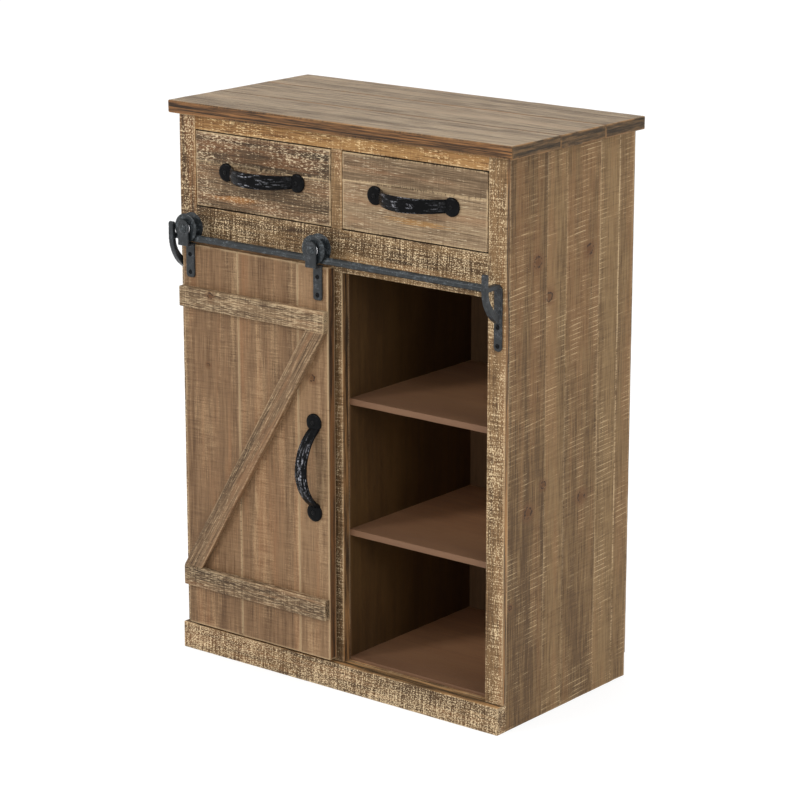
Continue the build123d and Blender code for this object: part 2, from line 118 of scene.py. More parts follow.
class TreePen:
    """Draws a node tree, a node at a time."""

    def __init__(self, tree: bpy.types.NodeTree) -> None:
        """Start on an empty tree."""
        self.tree = tree
        self.tree.nodes.clear()

    def node(self, kind: str, inputs: dict[str | int, Value] | None = None, **settings: object) -> bpy.types.Node:
        """Add a node.

        Args:
            kind: the node's type.
            inputs: what its inputs are linked to or set to, by name or number.
            settings: its properties, by name.

        Returns:
            The new node.
        """
        added = self.tree.nodes.new(kind)
        for name, value in settings.items():
            setattr(added, name, value)
        for key, value in (inputs or {}).items():
            self.put(added.inputs[key], value)
        return added

    def made(self, kind: str, inputs: dict[str | int, Value] | None = None, **settings: object) -> Socket:
        """The first output of a new node."""
        return self.node(kind, inputs, **settings).outputs[0]

    def put(self, socket: Socket, value: Value) -> None:
        """Link a socket to another one, or set it to a plain value.

        Args:
            socket: the socket.
            value: the other socket or the plain value.
        """
        if isinstance(value, Socket):
            self.tree.links.new(value, socket)
        else:
            socket.default_value = value

    def math(self, operation: str, a: Value, b: Value = 0.0) -> Socket:
        """What the Math node's operation makes of one or two numbers."""
        return self.made("ShaderNodeMath", {0: a, 1: b}, operation=operation)

    def times(self, a: Value, b: Value) -> Socket:
        """The product of two numbers."""
        return self.math("MULTIPLY", a, b)

    def vector(self, operation: str, a: Value, b: Value = (0.0, 0.0, 0.0)) -> bpy.types.Node:
        """A Vector Math node, whose first output is a vector and second a number."""
        return self.node("ShaderNodeVectorMath", {0: a, 1: b}, operation=operation)

    def span(self, value: Value, low: float, high: float) -> Socket:
        """Turn a number into a soft share: 0 below one limit and 1 beyond the other.

        Args:
            value: the number.
            low: where the share is 0.
            high: where the share is 1. It may lie below the other limit.

        Returns:
            The share.
        """
        first, last = (1.0, 0.0) if high < low else (0.0, 1.0)
        limits = {"From Min": min(low, high), "From Max": max(low, high), "To Min": first, "To Max": last}
        return self.made("ShaderNodeMapRange", {"Value": value, **limits}, interpolation_type="SMOOTHSTEP")

    def total(self, *parts: tuple[Socket, float]) -> Socket:
        """Add up numbers, each times its weight.

        Args:
            parts: each number with its weight.

        Returns:
            Their sum.
        """
        found: Value = 0.0
        for value, weight in parts:
            found = self.math("ADD", found, self.times(value, weight))
        return found


class FinishPen(TreePen):
    """Draws one material."""

    def __init__(self, name: str) -> None:
        """Start on a new material.

        Args:
            name: its name.
        """
        self.material = bpy.data.materials.new(name)
        self.material.use_nodes = True
        super().__init__(self.material.node_tree)

    def place(self) -> Socket:
        """A point's place in the cabinet's frame."""
        return self.node("ShaderNodeTexCoord").outputs["Object"]

    def attribute(self, name: str, output: str = "Fac") -> Socket:
        """A value that the mesh carries."""
        return self.node("ShaderNodeAttribute", attribute_name=name).outputs[output]

    def grains(self, at: Socket, size: Triple, detail: float = 3.0, roughness: float = 0.55,
               tilt: float = 0.0) -> Socket:
        """Noise whose features have a given size in each direction.

        Args:
            at: the point.
            size: the features' size along each axis, in metres.
            detail: how many finer layers lie on it.
            roughness: how strong the finer layers are.
            tilt: turn of the features about the third axis, in degrees.

        Returns:
            The noise, about 0.5 in the mean.
        """
        turn = (0.0, 0.0, math.radians(tilt))
        stretched = self.made("ShaderNodeMapping", {"Vector": at, "Scale": size, "Rotation": turn},
                              vector_type="TEXTURE")
        return self.made("ShaderNodeTexNoise", {
            "Vector": stretched, "Scale": 1.0, "Detail": detail, "Roughness": roughness})

    def mix(self, share: Value, under: Value, over: Value) -> Socket:
        """One colour over another, of which it hides a share."""
        return self.node("ShaderNodeMix", {0: share, 6: under, 7: over}, data_type="RGBA").outputs[2]

    def coat(self, colour: Value, tint: Tint, share: Value, amount: Value) -> Socket:
        """A colour under a tint, which is laid on by a share times an amount."""
        return self.mix(self.times(share, amount), colour, linear(tint))

    def ramp(self, value: Value, stops: Sequence[tuple[float, Tint]]) -> Socket:
        """Colour a number.

        Args:
            value: the number, from 0 to 1.
            stops: where on that range each colour lies.

        Returns:
            The colour.
        """
        scale = self.node("ShaderNodeValToRGB", {"Fac": value})
        marks = scale.color_ramp.elements
        while len(marks) < len(stops):
            marks.new(0.5)
        for mark, (where, tint) in zip(marks, stops):
            mark.position = where
            mark.color = linear(tint)
        return scale.outputs["Color"]

    def away(self, at: Socket, centre: Triple, radii: Triple) -> Socket:
        """Distance from a place, counted in radii along each axis.

        Args:
            at: the point.
            centre: the place.
            radii: the length that counts as 1 along each axis.

        Returns:
            The distance.
        """
        offset = self.vector("SUBTRACT", at, centre).outputs[0]
        share = self.vector("DIVIDE", offset, radii).outputs[0]
        return self.vector("LENGTH", share).outputs["Value"]

    def bump(self, height: Value, depth: float) -> Socket:
        """The normal, bent by a relief from 0 to 1 whose depth is in metres."""
        return self.made("ShaderNodeBump", {"Height": height, "Distance": depth, "Strength": 1.0})

    def surface(self, colour: Value, roughness: Value, normal: Value, metallic: float = 0.0,
                specular: float = 0.5) -> Material:
        """Close the material with its shader.

        Args:
            colour: base colour.
            roughness: roughness.
            normal: bent normal.
            metallic: how metallic the surface is.
            specular: specular level.

        Returns:
            The finished material.
        """
        shader = self.made("ShaderNodeBsdfPrincipled", {
            "Base Color": colour, "Roughness": roughness, "Normal": normal, "Metallic": metallic,
            "Specular IOR Level": specular})
        self.node("ShaderNodeOutputMaterial", {"Surface": shader})
        return self.material


class GeometryPen(TreePen):
    """Draws one Geometry Nodes tree with named inputs."""

    def __init__(self, name: str, inputs: Sequence[tuple[str, str]]) -> None:
        """Start on a new tree.

        Args:
            name: the tree's name.
            inputs: name and socket type of each input beside the geometry.
        """
        tree = bpy.data.node_groups.new(name, "GeometryNodeTree")
        super().__init__(tree)
        tree.interface.new_socket("Geometry", in_out="OUTPUT", socket_type="NodeSocketGeometry")
        tree.interface.new_socket("Geometry", in_out="INPUT", socket_type="NodeSocketGeometry")
        self.keys = {
            label: tree.interface.new_socket(label, in_out="INPUT", socket_type=kind).identifier
            for label, kind in inputs
        }
        self.given = self.node("NodeGroupInput").outputs

    def close(self, geometry: Socket) -> None:
        """End the tree in real, smooth geometry with its material.

        Args:
            geometry: what the tree has made.
        """
        smooth = self.made("GeometryNodeSetShadeSmooth", {"Geometry": geometry})
        real = self.made("GeometryNodeRealizeInstances", {"Geometry": smooth})
        coated = self.made("GeometryNodeSetMaterial", {"Geometry": real, "Material": self.given["Material"]})
        self.node("NodeGroupOutput", {"Geometry": coated})

    def run(self, piece: Piece, **values: object) -> None:
        """Add the tree to a piece as a modifier.

        Args:
            piece: the piece.
            values: the tree's inputs, by name with underscores for spaces.
        """
        modifier = piece.modifiers.new(self.tree.name, "NODES")
        modifier.node_group = self.tree
        for label, value in values.items():
            modifier[self.keys[label.replace("_", " ").title()]] = value


# Meshes


@dataclass
class Shell:
    """Points, faces and carried values of one piece, gathered before its mesh is made."""

    points: list[np.ndarray] = field(default_factory=list)
    faces: list[np.ndarray] = field(default_factory=list)
    values: dict[str, list[tuple[int, np.ndarray]]] = field(default_factory=dict)
    count: int = 0

    def add(self, points: np.ndarray, faces: np.ndarray, **values: np.ndarray) -> None:
        """Add a closed form.

        Args:
            points: its points, in metres.
            faces: four point numbers for each face.
            values: what each point carries, by name. Points of forms without it carry 0.
        """
        for name, value in values.items():
            self.values.setdefault(name, []).append((self.count, value))
        self.points.append(points)
        self.faces.append(faces + self.count)
        self.count += len(points)

    def piece(self, name: str, material: Material | None = None) -> Piece:
        """Make the mesh and its object, at the origin.

        Args:
            name: the piece's name.
            material: its finish, if it has one already.

        Returns:
            The object.
        """
        mesh = bpy.data.meshes.new(name)
        mesh.from_pydata(np.concatenate(self.points).tolist(), [], np.concatenate(self.faces).tolist())
        for label, parts in self.values.items():
            value = np.zeros((self.count, *parts[0][1].shape[1:]), np.float32)
            for start, part in parts:
                value[start:start + len(part)] = part
            kind, key = ("FLOAT_VECTOR", "vector") if value.ndim == 2 else ("FLOAT", "value")
            mesh.attributes.new(label, kind, "POINT").data.foreach_set(key, value.ravel())
        mesh.polygons.foreach_set("use_smooth", [True] * len(mesh.polygons))
        if material:
            mesh.materials.append(material)
        made = bpy.data.objects.new(name, mesh)
        bpy.context.scene.collection.objects.link(made)
        return made


def settle(piece: Piece) -> Piece:
    """Turn a piece's modifiers into plain mesh.

    Args:
        piece: the piece.

    Returns:
        The same piece, with no modifiers.
    """
    graph = bpy.context.evaluated_depsgraph_get()
    made = bpy.data.meshes.new_from_object(piece.evaluated_get(graph))
    made.name = piece.name
    piece.modifiers.clear()
    piece.data = made
    return piece


def dress(piece: Piece, body: str, slot: Slot, *nodes: str) -> None:
    """Let a finished piece stand for its solids and move with their body.

    Args:
        piece: the piece.
        body: the body that it moves with.
        slot: the record's slot for its finish; not used.
        nodes: the solids that it stands for.
    """
    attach(piece, body)
    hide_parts(*nodes)
    log.info("%s on %s: %d faces", piece.name, body, len(piece.data.polygons))


def stations(size: float, arris: float, cell: float) -> np.ndarray:
    """Where a board's mesh is divided along one axis: closely at its arrises, evenly between.

    Args:
        size: the board's size along the axis.
        arris: the arris's radius.
        cell: spacing between the arrises.

    Returns:
        Distances from one end to the other.
    """
    near = np.array(ARRIS_STEPS) * arris
    near = near[near < size * NEARLY_HALF]
    inner = size - 2 * near[-1]
    count = max(1, round(inner / cell))
    middle = near[-1] + inner * np.arange(1, count) / count
    return np.concatenate([near, middle, size - near[::-1]])


@dataclass(frozen=True)
class Board:
    """A sawn board with worn arrises. It stands in a box and its grain runs along one axis.

    Its `tight` sides meet another board. `lean` is how far it drifts along X for each metre of height, `wear` how far
    its arrises are rubbed, and `tone` where its stain lies between dark and light.
    """

    low: Triple
    high: Triple
    grain: Axis
    seed: int
    arris: float = 0.0012
    chip: float = 0.0014
    cell: float = 0.010
    tight: tuple[str, ...] = ()
    tight_arris: float = 0.0003
    lean: float = 0.0
    wear: float = 1.0
    tone: float | None = None
    rough_rate: float = 45.0
    gouge_rate: float = 26.0

    def axes(self) -> tuple[int, int, int]:
        """The axes along the grain, across it and through the thickness.

        Returns:
            Their indices.
        """
        size = np.subtract(self.high, self.low)
        across, through = sorted((a for a in range(3) if a != self.grain.value), key=lambda a: -size[a])
        return self.grain.value, across, through

    def radius(self, points: np.ndarray, size: np.ndarray) -> np.ndarray:
        """The arris's radius at each point: uneven, chipped here and there, small along tight sides.

        Args:
            points: points on the plain box, from its lowest corner.
            size: the box's size.

        Returns:
            A radius for each point.
        """
        shift = Vector((self.seed * 1.7, self.seed * 0.9, self.seed * 2.3))
        edge = np.sort(np.minimum(points, size - points), axis=1)[:, 1] < 6 * self.arris
        found = np.full(len(points), self.arris)
        for index in np.flatnonzero(edge):
            at = Vector(points[index])
            rough = noise.noise(at * self.rough_rate + shift)
            gouge = max(0.0, noise.noise(at * self.gouge_rate - shift) - 0.34) / 0.66
            found[index] = self.arris * (0.85 + 0.45 * rough) + self.chip * gouge
        for side in self.tight:
            axis = "xyz".index(side[1])
            gone = points[:, axis] if side[0] == "-" else size[axis] - points[:, axis]
            share = np.clip(gone / TIGHT_REACH, 0, 1)
            found = self.tight_arris + (found - self.tight_arris) * share
        return np.minimum(found, size.min() * NEARLY_HALF)

    def skin(self, size: np.ndarray) -> tuple[np.ndarray, np.ndarray]:
        """The skin of the plain box, divided closely at its edges.

        Args:
            size: the box's size.

        Returns:
            Its points, from its lowest corner, and four point numbers for each face.
        """
        lines = [stations(length, self.arris, self.cell) for length in size]
        counts = np.array([len(line) - 1 for line in lines])
        quads = []
        for axis in range(3):
            u, v = (axis + 1) % 3, (axis + 2) % 3
            iu, iv = (grid.ravel() for grid in np.meshgrid(np.arange(counts[u]), np.arange(counts[v])))
            for level, turns in ((0, ((0, 0), (0, 1), (1, 1), (1, 0))),
                                 (counts[axis], ((0, 0), (1, 0), (1, 1), (0, 1)))):
                corner = np.zeros((len(iu), 4, 3), int)
                corner[:, :, axis] = level
                for place, (du, dv) in enumerate(turns):
                    corner[:, place, u] = iu + du
                    corner[:, place, v] = iv + dv
                quads.append(corner)
        grid = np.concatenate(quads)
        keys = np.ravel_multi_index(tuple(np.moveaxis(grid, 2, 0)), tuple(counts + 1))
        unique, faces = np.unique(keys, return_inverse=True)
        index = np.stack(np.unravel_index(unique, tuple(counts + 1)), axis=1)
        return np.stack([lines[axis][index[:, axis]] for axis in range(3)], axis=1), faces.reshape(-1, 4)

    def add_to(self, shell: Shell) -> None:
        """Add the board to a piece, with what its finish reads: grain, arris, end, flank and tone.

        Args:
            shell: the piece.
        """
        low = np.array(self.low)
        size = np.array(self.high) - low
        box, faces = self.skin(size)
        radius = self.radius(box, size)[:, None]
        core = np.clip(box, radius, size - radius)
        out = box - core
        points = core + out / np.linalg.norm(out, axis=1)[:, None] * radius
        along, across, through = self.axes()
        to_edge = np.minimum(box, size - box)
        second = np.sort(to_edge, axis=1)[:, 1]
        offset = np.array([self.seed * 0.73 % 4, self.seed * 0.377 % 1, self.seed * 0.219 % 1])
        places = points + low
        places[:, 0] += (places[:, 2] - low[2]) * self.lean
        shell.add(
            places,
            faces,
            grain=points[:, [along, across, through]] + offset,
            arris=self.wear * np.exp(-((second / RUBBED_WIDTH) ** 2)),
            end=(to_edge[:, along] < ON_FACE).astype(float),
            flank=(to_edge[:, across] < ON_FACE).astype(float),
            tone=np.full(len(points), (self.seed * 0.618) % 1 if self.tone is None else self.tone),
        )


def boards_across(low: Triple, high: Triple, grain: Axis, laid: Axis, widths: Sequence[float], seed: int,
                  wears: Sequence[float] = (), **look: float) -> list[Board]:
    """Lay boards side by side in a box.

    Args:
        low: the box's lowest corner.
        high: its highest corner.
        grain: the way that the boards run.
        laid: the axis along which they lie side by side.
        widths: the first boards' widths. The last board takes the rest.
        seed: number of the first board.
        wears: how far each board's arrises are rubbed, from 0 to 1.
        look: further sizes of every board.

    Returns:
        The boards, in order.
    """
    axis = laid.value
    edges = [low[axis], *(low[axis] + np.cumsum(widths)), high[axis]]
    boards = []
    for number, (start, end) in enumerate(zip(edges, edges[1:])):
        first, last = list(low), list(high)
        first[axis], last[axis] = start, end
        joints = []
        if number:
            joints.append("-" + "xyz"[axis])
        if number < len(edges) - 2:
            joints.append("+" + "xyz"[axis])
        wear = wears[number] if wears else 1.0
        boards.append(Board(tuple(first), tuple(last), grain, seed + number, tight=tuple(joints),
                            tight_arris=JOINT_ARRIS, wear=wear, **look))
    return boards


def wooden(name: str, boards: Sequence[Board], finish: Material) -> Piece:
    """Make one piece of one or more boards.

    Args:
        name: the piece's name.
        boards: its boards.
        finish: its finish.

    Returns:
        The piece.
    """
    shell = Shell()
    for board in boards:
        board.add_to(shell)
    return shell.piece(name, finish)


def one_board(node: str, body: str, slot: Slot, grain: Axis, finish: Material, seed: int,
              **look: float) -> None:
    """Dress one solid as one board.

    Args:
        node: the solid.
        body: the body that it moves with.
        slot: the record's slot for its finish.
        grain: the way that the board runs.
        finish: its finish.
        seed: its number.
        look: further sizes of the board.
    """
    low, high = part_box(node)
    board = Board(tuple(low), tuple(high), grain, seed, **look)
    dress(wooden(f"{node}_board", (board,), finish), body, slot, node)


def rounded(profile: Sequence[tuple[float, float]], radius: float, steps: int = 3) -> np.ndarray:
    """Ease the corners of an open profile.

    Args:
        profile: its corners.
        radius: how far from a corner the easing starts.
        steps: points for each corner.

    Returns:
        The eased profile.
    """
    corners = np.array(profile, float)
    eased = [corners[0]]
    for before, here, after in zip(corners, corners[1:], corners[2:]):
        inward, outward = before - here, after - here
        start = here + inward * min(NEARLY_HALF, radius / np.linalg.norm(inward))
        end = here + outward * min(NEARLY_HALF, radius / np.linalg.norm(outward))
        for t in np.linspace(0, 1, steps):
            eased.append((1 - t) ** 2 * start + 2 * t * (1 - t) * here + t * t * end)
    eased.append(corners[-1])
    return np.array(eased)


def ring_faces(rings: int, segments: int) -> np.ndarray:
    """The faces between rings of points.

    Args:
        rings: how many rings there are.
        segments: points on each ring.

    Returns:
        Four point numbers for each face.
    """
    ring, step = (grid.ravel() for grid in np.meshgrid(np.arange(rings - 1), np.arange(segments)))
    turn = (step + 1) % segments
    return np.stack([ring * segments + step, ring * segments + turn,
                     (ring + 1) * segments + turn, (ring + 1) * segments + step], axis=1)


def turned(shell: Shell, profile: np.ndarray, centre: Triple, axis: Axis, segments: int = 64) -> None:
    """Add a turned form to a piece. Its profile begins and ends on the axis or closes on itself.

    Args:
        shell: the piece.
        profile: distance along the axis and radius of each ring.
        centre: the point of the axis from which the distances count.
        axis: the axis.
        segments: points on each ring.
    """
    u, v = (axis.value + 1) % 3, (axis.value + 2) % 3
    angles = np.linspace(0, 2 * math.pi, segments, endpoint=False)
    points = np.zeros((len(profile), segments, 3))
    points[:, :, axis.value] = profile[:, 0, None]
    points[:, :, u] = profile[:, 1, None] * np.cos(angles)
    points[:, :, v] = profile[:, 1, None] * np.sin(angles)
    shell.add(points.reshape(-1, 3) + np.array(centre), ring_faces(len(profile), segments))


def heal(piece: Piece) -> Piece:
    """Merge doubled points, close poles and turn all faces outwards.

    Args:
        piece: the piece.

    Returns:
        The same piece.
    """
    work = bmesh.new()
    work.from_mesh(piece.data)
    bmesh.ops.remove_doubles(work, verts=work.verts, dist=MERGE_DISTANCE)
    bmesh.ops.recalc_face_normals(work, faces=work.faces)
    work.to_mesh(piece.data)
    work.free()
    return piece


# Geometry Nodes for the iron


class Hammering(GeometryPen):
    """Geometry Nodes that beat shallow dents into a piece of iron."""

    INPUTS = (("Dent Size", "NodeSocketFloat"), ("Dent Depth", "NodeSocketFloat"), ("Material", "NodeSocketMaterial"))

    def __init__(self) -> None:
        """Build the tree."""
        super().__init__("hammered_iron", self.INPUTS)
        place = self.made("GeometryNodeInputPosition")
        scale = self.math("DIVIDE", 1.0, self.given["Dent Size"])
        cells = self.made("ShaderNodeTexVoronoi", {"Vector": place, "Scale": scale, "Smoothness": 0.25},
                          feature="SMOOTH_F1")
        swell = self.made("ShaderNodeTexNoise", {"Vector": place, "Scale": self.times(scale, 0.5)})
        push = self.times(self.math("SUBTRACT", self.math("ADD", cells, swell), 1.0), self.given["Dent Depth"])
        normal = self.made("GeometryNodeInputNormal")
        offset = self.made("ShaderNodeVectorMath", {0: normal, "Scale": push}, operation="SCALE")
        self.close(self.made("GeometryNodeSetPosition", {"Geometry": self.given["Geometry"], "Offset": offset}))


class ScrewNodes(GeometryPen):
    """Geometry Nodes that set a round screw head with a cross recess on every point."""

    INPUTS = (("Head Radius", "NodeSocketFloat"), ("Head Height", "NodeSocketFloat"),
              ("Recess Width", "NodeSocketFloat"), ("Seed", "NodeSocketInt"), ("Material", "NodeSocketMaterial"))
    RECESS_LENGTH = 1.15  # of the head's radius
    RECESS_DEPTHS = (1.2, 1.1)  # of the head's height, and unlike, so that no two faces coincide

    def __init__(self) -> None:
        """Build the tree."""
        super().__init__("screw_heads", self.INPUTS)
        radius, height, width = (self.given[label] for label in ("Head Radius", "Head Height", "Recess Width"))
        ball = self.made("GeometryNodeMeshUVSphere", {"Segments": 28, "Rings": 14, "Radius": 1.0})
        scale = self.made("ShaderNodeCombineXYZ", {0: radius, 1: radius, 2: height})
        head = self.made("GeometryNodeTransform", {"Geometry": ball, "Scale": scale})
        length = self.times(radius, self.RECESS_LENGTH)
        cut = self.node("GeometryNodeMeshBoolean", {"Mesh 1": head}, operation="DIFFERENCE")
        bars = [self.bar(a, b, self.times(height, depth))
                for (a, b), depth in zip(((length, width), (width, length)), self.RECESS_DEPTHS)]
        for bar in bars:
            self.put(cut.inputs["Mesh 2"], bar)
        spread = self.made("GeometryNodeInstanceOnPoints", {
            "Points": self.given["Geometry"], "Instance": cut.outputs["Mesh"], "Rotation": (math.pi / 2, 0.0, 0.0)})
        spin = self.node("FunctionNodeRandomValue", {3: math.pi, "Seed": self.given["Seed"]}, data_type="FLOAT")
        turn = self.made("ShaderNodeCombineXYZ", {"Z": spin.outputs[1]})
        self.close(self.made("GeometryNodeRotateInstances", {"Instances": spread, "Rotation": turn}))

    def bar(self, length: Socket, width: Socket, depth: Socket) -> Socket:
        """One bar of the cross recess, standing in the top of the head.

        Args:
            length: its size along X.
            width: its size along Y.
            depth: its size along Z.

        Returns:
            The bar.
        """
        size = self.made("ShaderNodeCombineXYZ", {0: length, 1: width, 2: depth})
        cube = self.made("GeometryNodeMeshCube", {"Size": size})
        lift = self.made("ShaderNodeCombineXYZ", {"Z": self.given["Head Height"]})
        return self.made("GeometryNodeTransform", {"Geometry": cube, "Translation": lift})


HAMMERING = Hammering()
SCREW_NODES = ScrewNodes()


def hammer(piece: Piece, finish: Material, dent: float, depth: float) -> None:
    """Beat dents of some size and depth into a piece of iron, and give it its finish."""
    HAMMERING.run(piece, dent_size=dent, dent_depth=depth, material=finish)
    settle(piece)


# Finishes


@dataclass(frozen=True)
class Knot:
    """A knot in a board's face."""

    place: Triple
    radius: float


@dataclass(frozen=True)
class Blush:
    """A soft patch of another stain."""

    place: Triple
    radii: Triple
    tint: Tint
    share: float = 0.6


@dataclass(frozen=True)
class SawnFinish:
    """Rough-sawn softwood: stained, washed with white, rubbed pale along its arrises.

    The wash stays on the saw's ridges. `bare` says how much wood it leaves bare, `fleck` how long and wide its
    flecks are, `patch` and `blotch` how large and strong its thick and thin places are, and `ridges` how strongly
    single saw lines show.
    """

    name: str
    dark: Tint
    mid: Tint
    light: Tint
    contrast: float = 1.0
    warm: Tint = (128, 78, 42)
    warmth: float = 0.35
    wash: Tint = (218, 198, 164)
    wash_share: float = 0.8
    bare: float = 0.08
    crisp: float = 0.10
    speckle: float = 1.0
    streaks: float = 0.6
    streak_width: float = 0.0045
    fleck: tuple[float, float] = (0.0036, 0.0015)
    patch: tuple[float, float] = (0.090, 0.034)
    blotch: float = 0.45
    saw: float = 1.0
    saw_pitch: float = 0.0020
    saw_tilt: float = -3.0
    tones: float = 0.14
    ridges: float = 0.0
    ridge_pitch: float = 0.0068
    pits: float = 0.6
    rubbed: Tint = (212, 184, 144)
    rub: float = 0.75
    broken: float = 0.42
    flank: Tint | None = None
    ends: Tint | None = None
    knots: tuple[Knot, ...] = ()
    blushes: tuple[Blush, ...] = ()
    cracks: tuple[Blush, ...] = ()
    bump: float = 0.0013

    def material(self) -> Material:
        """Build the finish."""
        return SawnPen(self).draw()


class SawnPen(FinishPen):
    """Draws a sawn face: its marks, each a number about 0.5 in the mean, and the colours that they bring out."""

    KNOT_HALO = (104, 72, 44)
    KNOT_RIM = (48, 30, 18)
    KNOT_HEART = (90, 57, 28)

    def __init__(self, look: SawnFinish) -> None:
        """Start on a new material with the marks of growth and saw.

        Args:
            look: the finish.
        """
        super().__init__(look.name)
        self.look = look
        self.grain = self.attribute("grain", "Vector")
        (length, width), (patch_length, patch_width) = look.fleck, look.patch
        self.drift = self.grains(self.grain, (0.45, 0.028, 0.028), 3.0, 0.55)
        self.streak = self.grains(self.grain, (0.13, look.streak_width, look.streak_width), 5.0, 0.62)
        self.fibre = self.grains(self.grain, (0.045, 0.0010, 0.0010), 3.0, 0.6)
        self.patch = self.grains(self.grain, (patch_length, patch_width, patch_width), 4.0, 0.6)
        self.fleck = self.grains(self.grain, (length, width, width), 3.0, 0.65)
        self.kerf = self.grains(self.grain, (look.saw_pitch, 0.036, 0.036), 3.0, 0.62, look.saw_tilt)

    def draw(self) -> Material:
        """Lay the colours over one another and close the material.

        Returns:
            The material.
        """
        look = self.look
        washed = self.washed()
        colour = self.coat(self.stain(), look.wash, washed, look.wash_share)
        colour = self.pitted(colour)
        for where, tint in (("flank", look.flank), ("end", look.ends)):
            if tint:
                colour = self.planed(colour, where, tint)
        colour = self.blushed(colour, look.cracks)
        if look.knots:
            colour = self.with_knots(colour)
        broken = self.span(self.total((self.patch, 0.6), (self.kerf, 0.4)), look.broken, look.broken + 0.12)
        worn = self.times(self.attribute("arris"), broken)
        colour = self.coat(colour, look.rubbed, worn, look.rub)
        relief = self.total((self.kerf, 0.7 * look.saw), (self.fibre, 0.5), (self.streak, 0.3), (self.fleck, 0.4))
        rough = self.made("ShaderNodeMapRange", {"Value": washed, "To Min": 0.62, "To Max": 0.86})
        return self.surface(colour, rough, self.bump(relief, look.bump), specular=0.25)

    def stain(self) -> Socket:
        """Stain the wood: dark and light along the grain, warmer in places.

        Returns:
            The colour.
        """
        look = self.look
        parts = ((self.streak, look.streaks), (self.drift, 0.5), (self.fibre, 0.8), (self.kerf, 0.45 * look.saw))
        tone = self.times(self.math("SUBTRACT", self.attribute("tone"), 0.5), look.tones)
        depth = self.math("ADD", self.total(*parts), tone)
        middle = 0.5 * sum(weight for _, weight in parts)
        reach = 0.26 / look.contrast
        level = self.span(depth, middle - reach, middle + reach)
        colour = self.ramp(level, ((0.0, look.dark), (0.5, look.mid), (1.0, look.light)))
        ruddy = self.span(self.total((self.drift, 0.8), (self.patch, 0.4), (self.streak, 0.3)), 0.74, 0.90)
        return self.blushed(self.coat(colour, look.warm, ruddy, look.warmth), look.blushes)

    def blushed(self, colour: Socket, blushes: Sequence[Blush]) -> Socket:
        """Lay soft patches of another stain, frayed along the grain.

        Args:
            colour: the colour so far.
            blushes: the patches.

        Returns:
            The colour with the patches.
        """
        for blush in blushes:
            gone = self.away(self.place(), blush.place, blush.radii)
            frayed = self.total((gone, 1.0), (self.streak, -2.6), (self.fibre, -1.2))
            colour = self.coat(colour, blush.tint, self.span(frayed, -0.95, -1.5), blush.share)
        return colour

    def washed(self) -> Socket:
        """Where the white wash stays: in flecks on the saw's ridges, thick in patches.

        Returns:
            A share from 0 to 1.
        """
        look = self.look
        parts = ((self.fleck, look.speckle), (self.kerf, 0.7 * look.saw), (self.patch, look.blotch),
                 (self.fibre, 0.3))
        middle = 0.5 * sum(weight for _, weight in parts)
        flecks = self.span(self.total(*parts), middle + look.bare, middle + look.bare + look.crisp)
        if not look.ridges:
            return flecks
        grouped = self.span(self.total((self.patch, 0.8), (self.kerf, 0.4), (self.fleck, 0.2)), 0.68, 0.88)
        return self.math("MAXIMUM", flecks, self.times(self.times(self.saw_lines(), grouped), look.ridges))

    def saw_lines(self) -> Socket:
        """Fine lines across the grain, as far apart as the saw was fed between strokes.

        Returns:
            A share that is 1 on a line.
        """
        pitch, slant = self.look.ridge_pitch, math.tan(math.radians(self.look.saw_tilt))
        parts = self.node("ShaderNodeSeparateXYZ", {0: self.grain}).outputs
        wander = self.grains(self.grain, (0.026, 0.25, 0.25), 2.0)
        along = self.total((parts[0], 1.0), (parts[1], slant), (wander, 1.6 * pitch))
        wave, finer = (self.math("SINE", self.times(along, turns * math.pi / pitch)) for turns in (2, 7))
        return self.math("MAXIMUM", self.span(wave, 0.86, 0.97), self.times(self.span(finer, 0.7, 0.95), 0.5))

    def pitted(self, colour: Socket) -> Socket:
        """Darken the saw's grooves and the open pores.

        Args:
            colour: the colour so far.

        Returns:
            The darker colour.
        """
        look = self.look
        groove = self.times(self.span(self.kerf, 0.42, 0.32), 0.5 * look.saw)
        pore = self.span(self.total((self.fibre, 0.6), (self.fleck, 0.6)), 0.50, 0.40)
        return self.coat(colour, shaded(look.dark, 0.62), self.math("MAXIMUM", groove, pore), look.pits)

    def planed(self, colour: Socket, where: str, tint: Tint) -> Socket:
        """Give a board's edges or ends a smoother colour of their own, which on rails and drawer faces is dark as
        painted shade for the gaps.

        Args:
            colour: the colour so far.
            where: the carried value that is 1 there.
            tint: the colour there.

        Returns:
            The colour.
        """
        streak, fibre, shares = self.streak, self.fibre, (0.44, 1.45)
        if where == "end":
            streak = self.grains(self.grain, (0.0040, 0.080, 0.0040), 4.0, 0.62)
            fibre = self.grains(self.grain, (0.0012, 0.020, 0.0012), 3.0)
            shares = (0.62, 1.35)
        level = self.total((streak, 0.7), (fibre, 0.5), (self.drift, 0.2))
        deep, pale = (shaded(tint, share) for share in shares)
        smooth = self.ramp(self.span(level, 0.58, 0.82), ((0.0, deep), (0.5, tint), (1.0, pale)))
        return self.mix(self.attribute(where), colour, smooth)

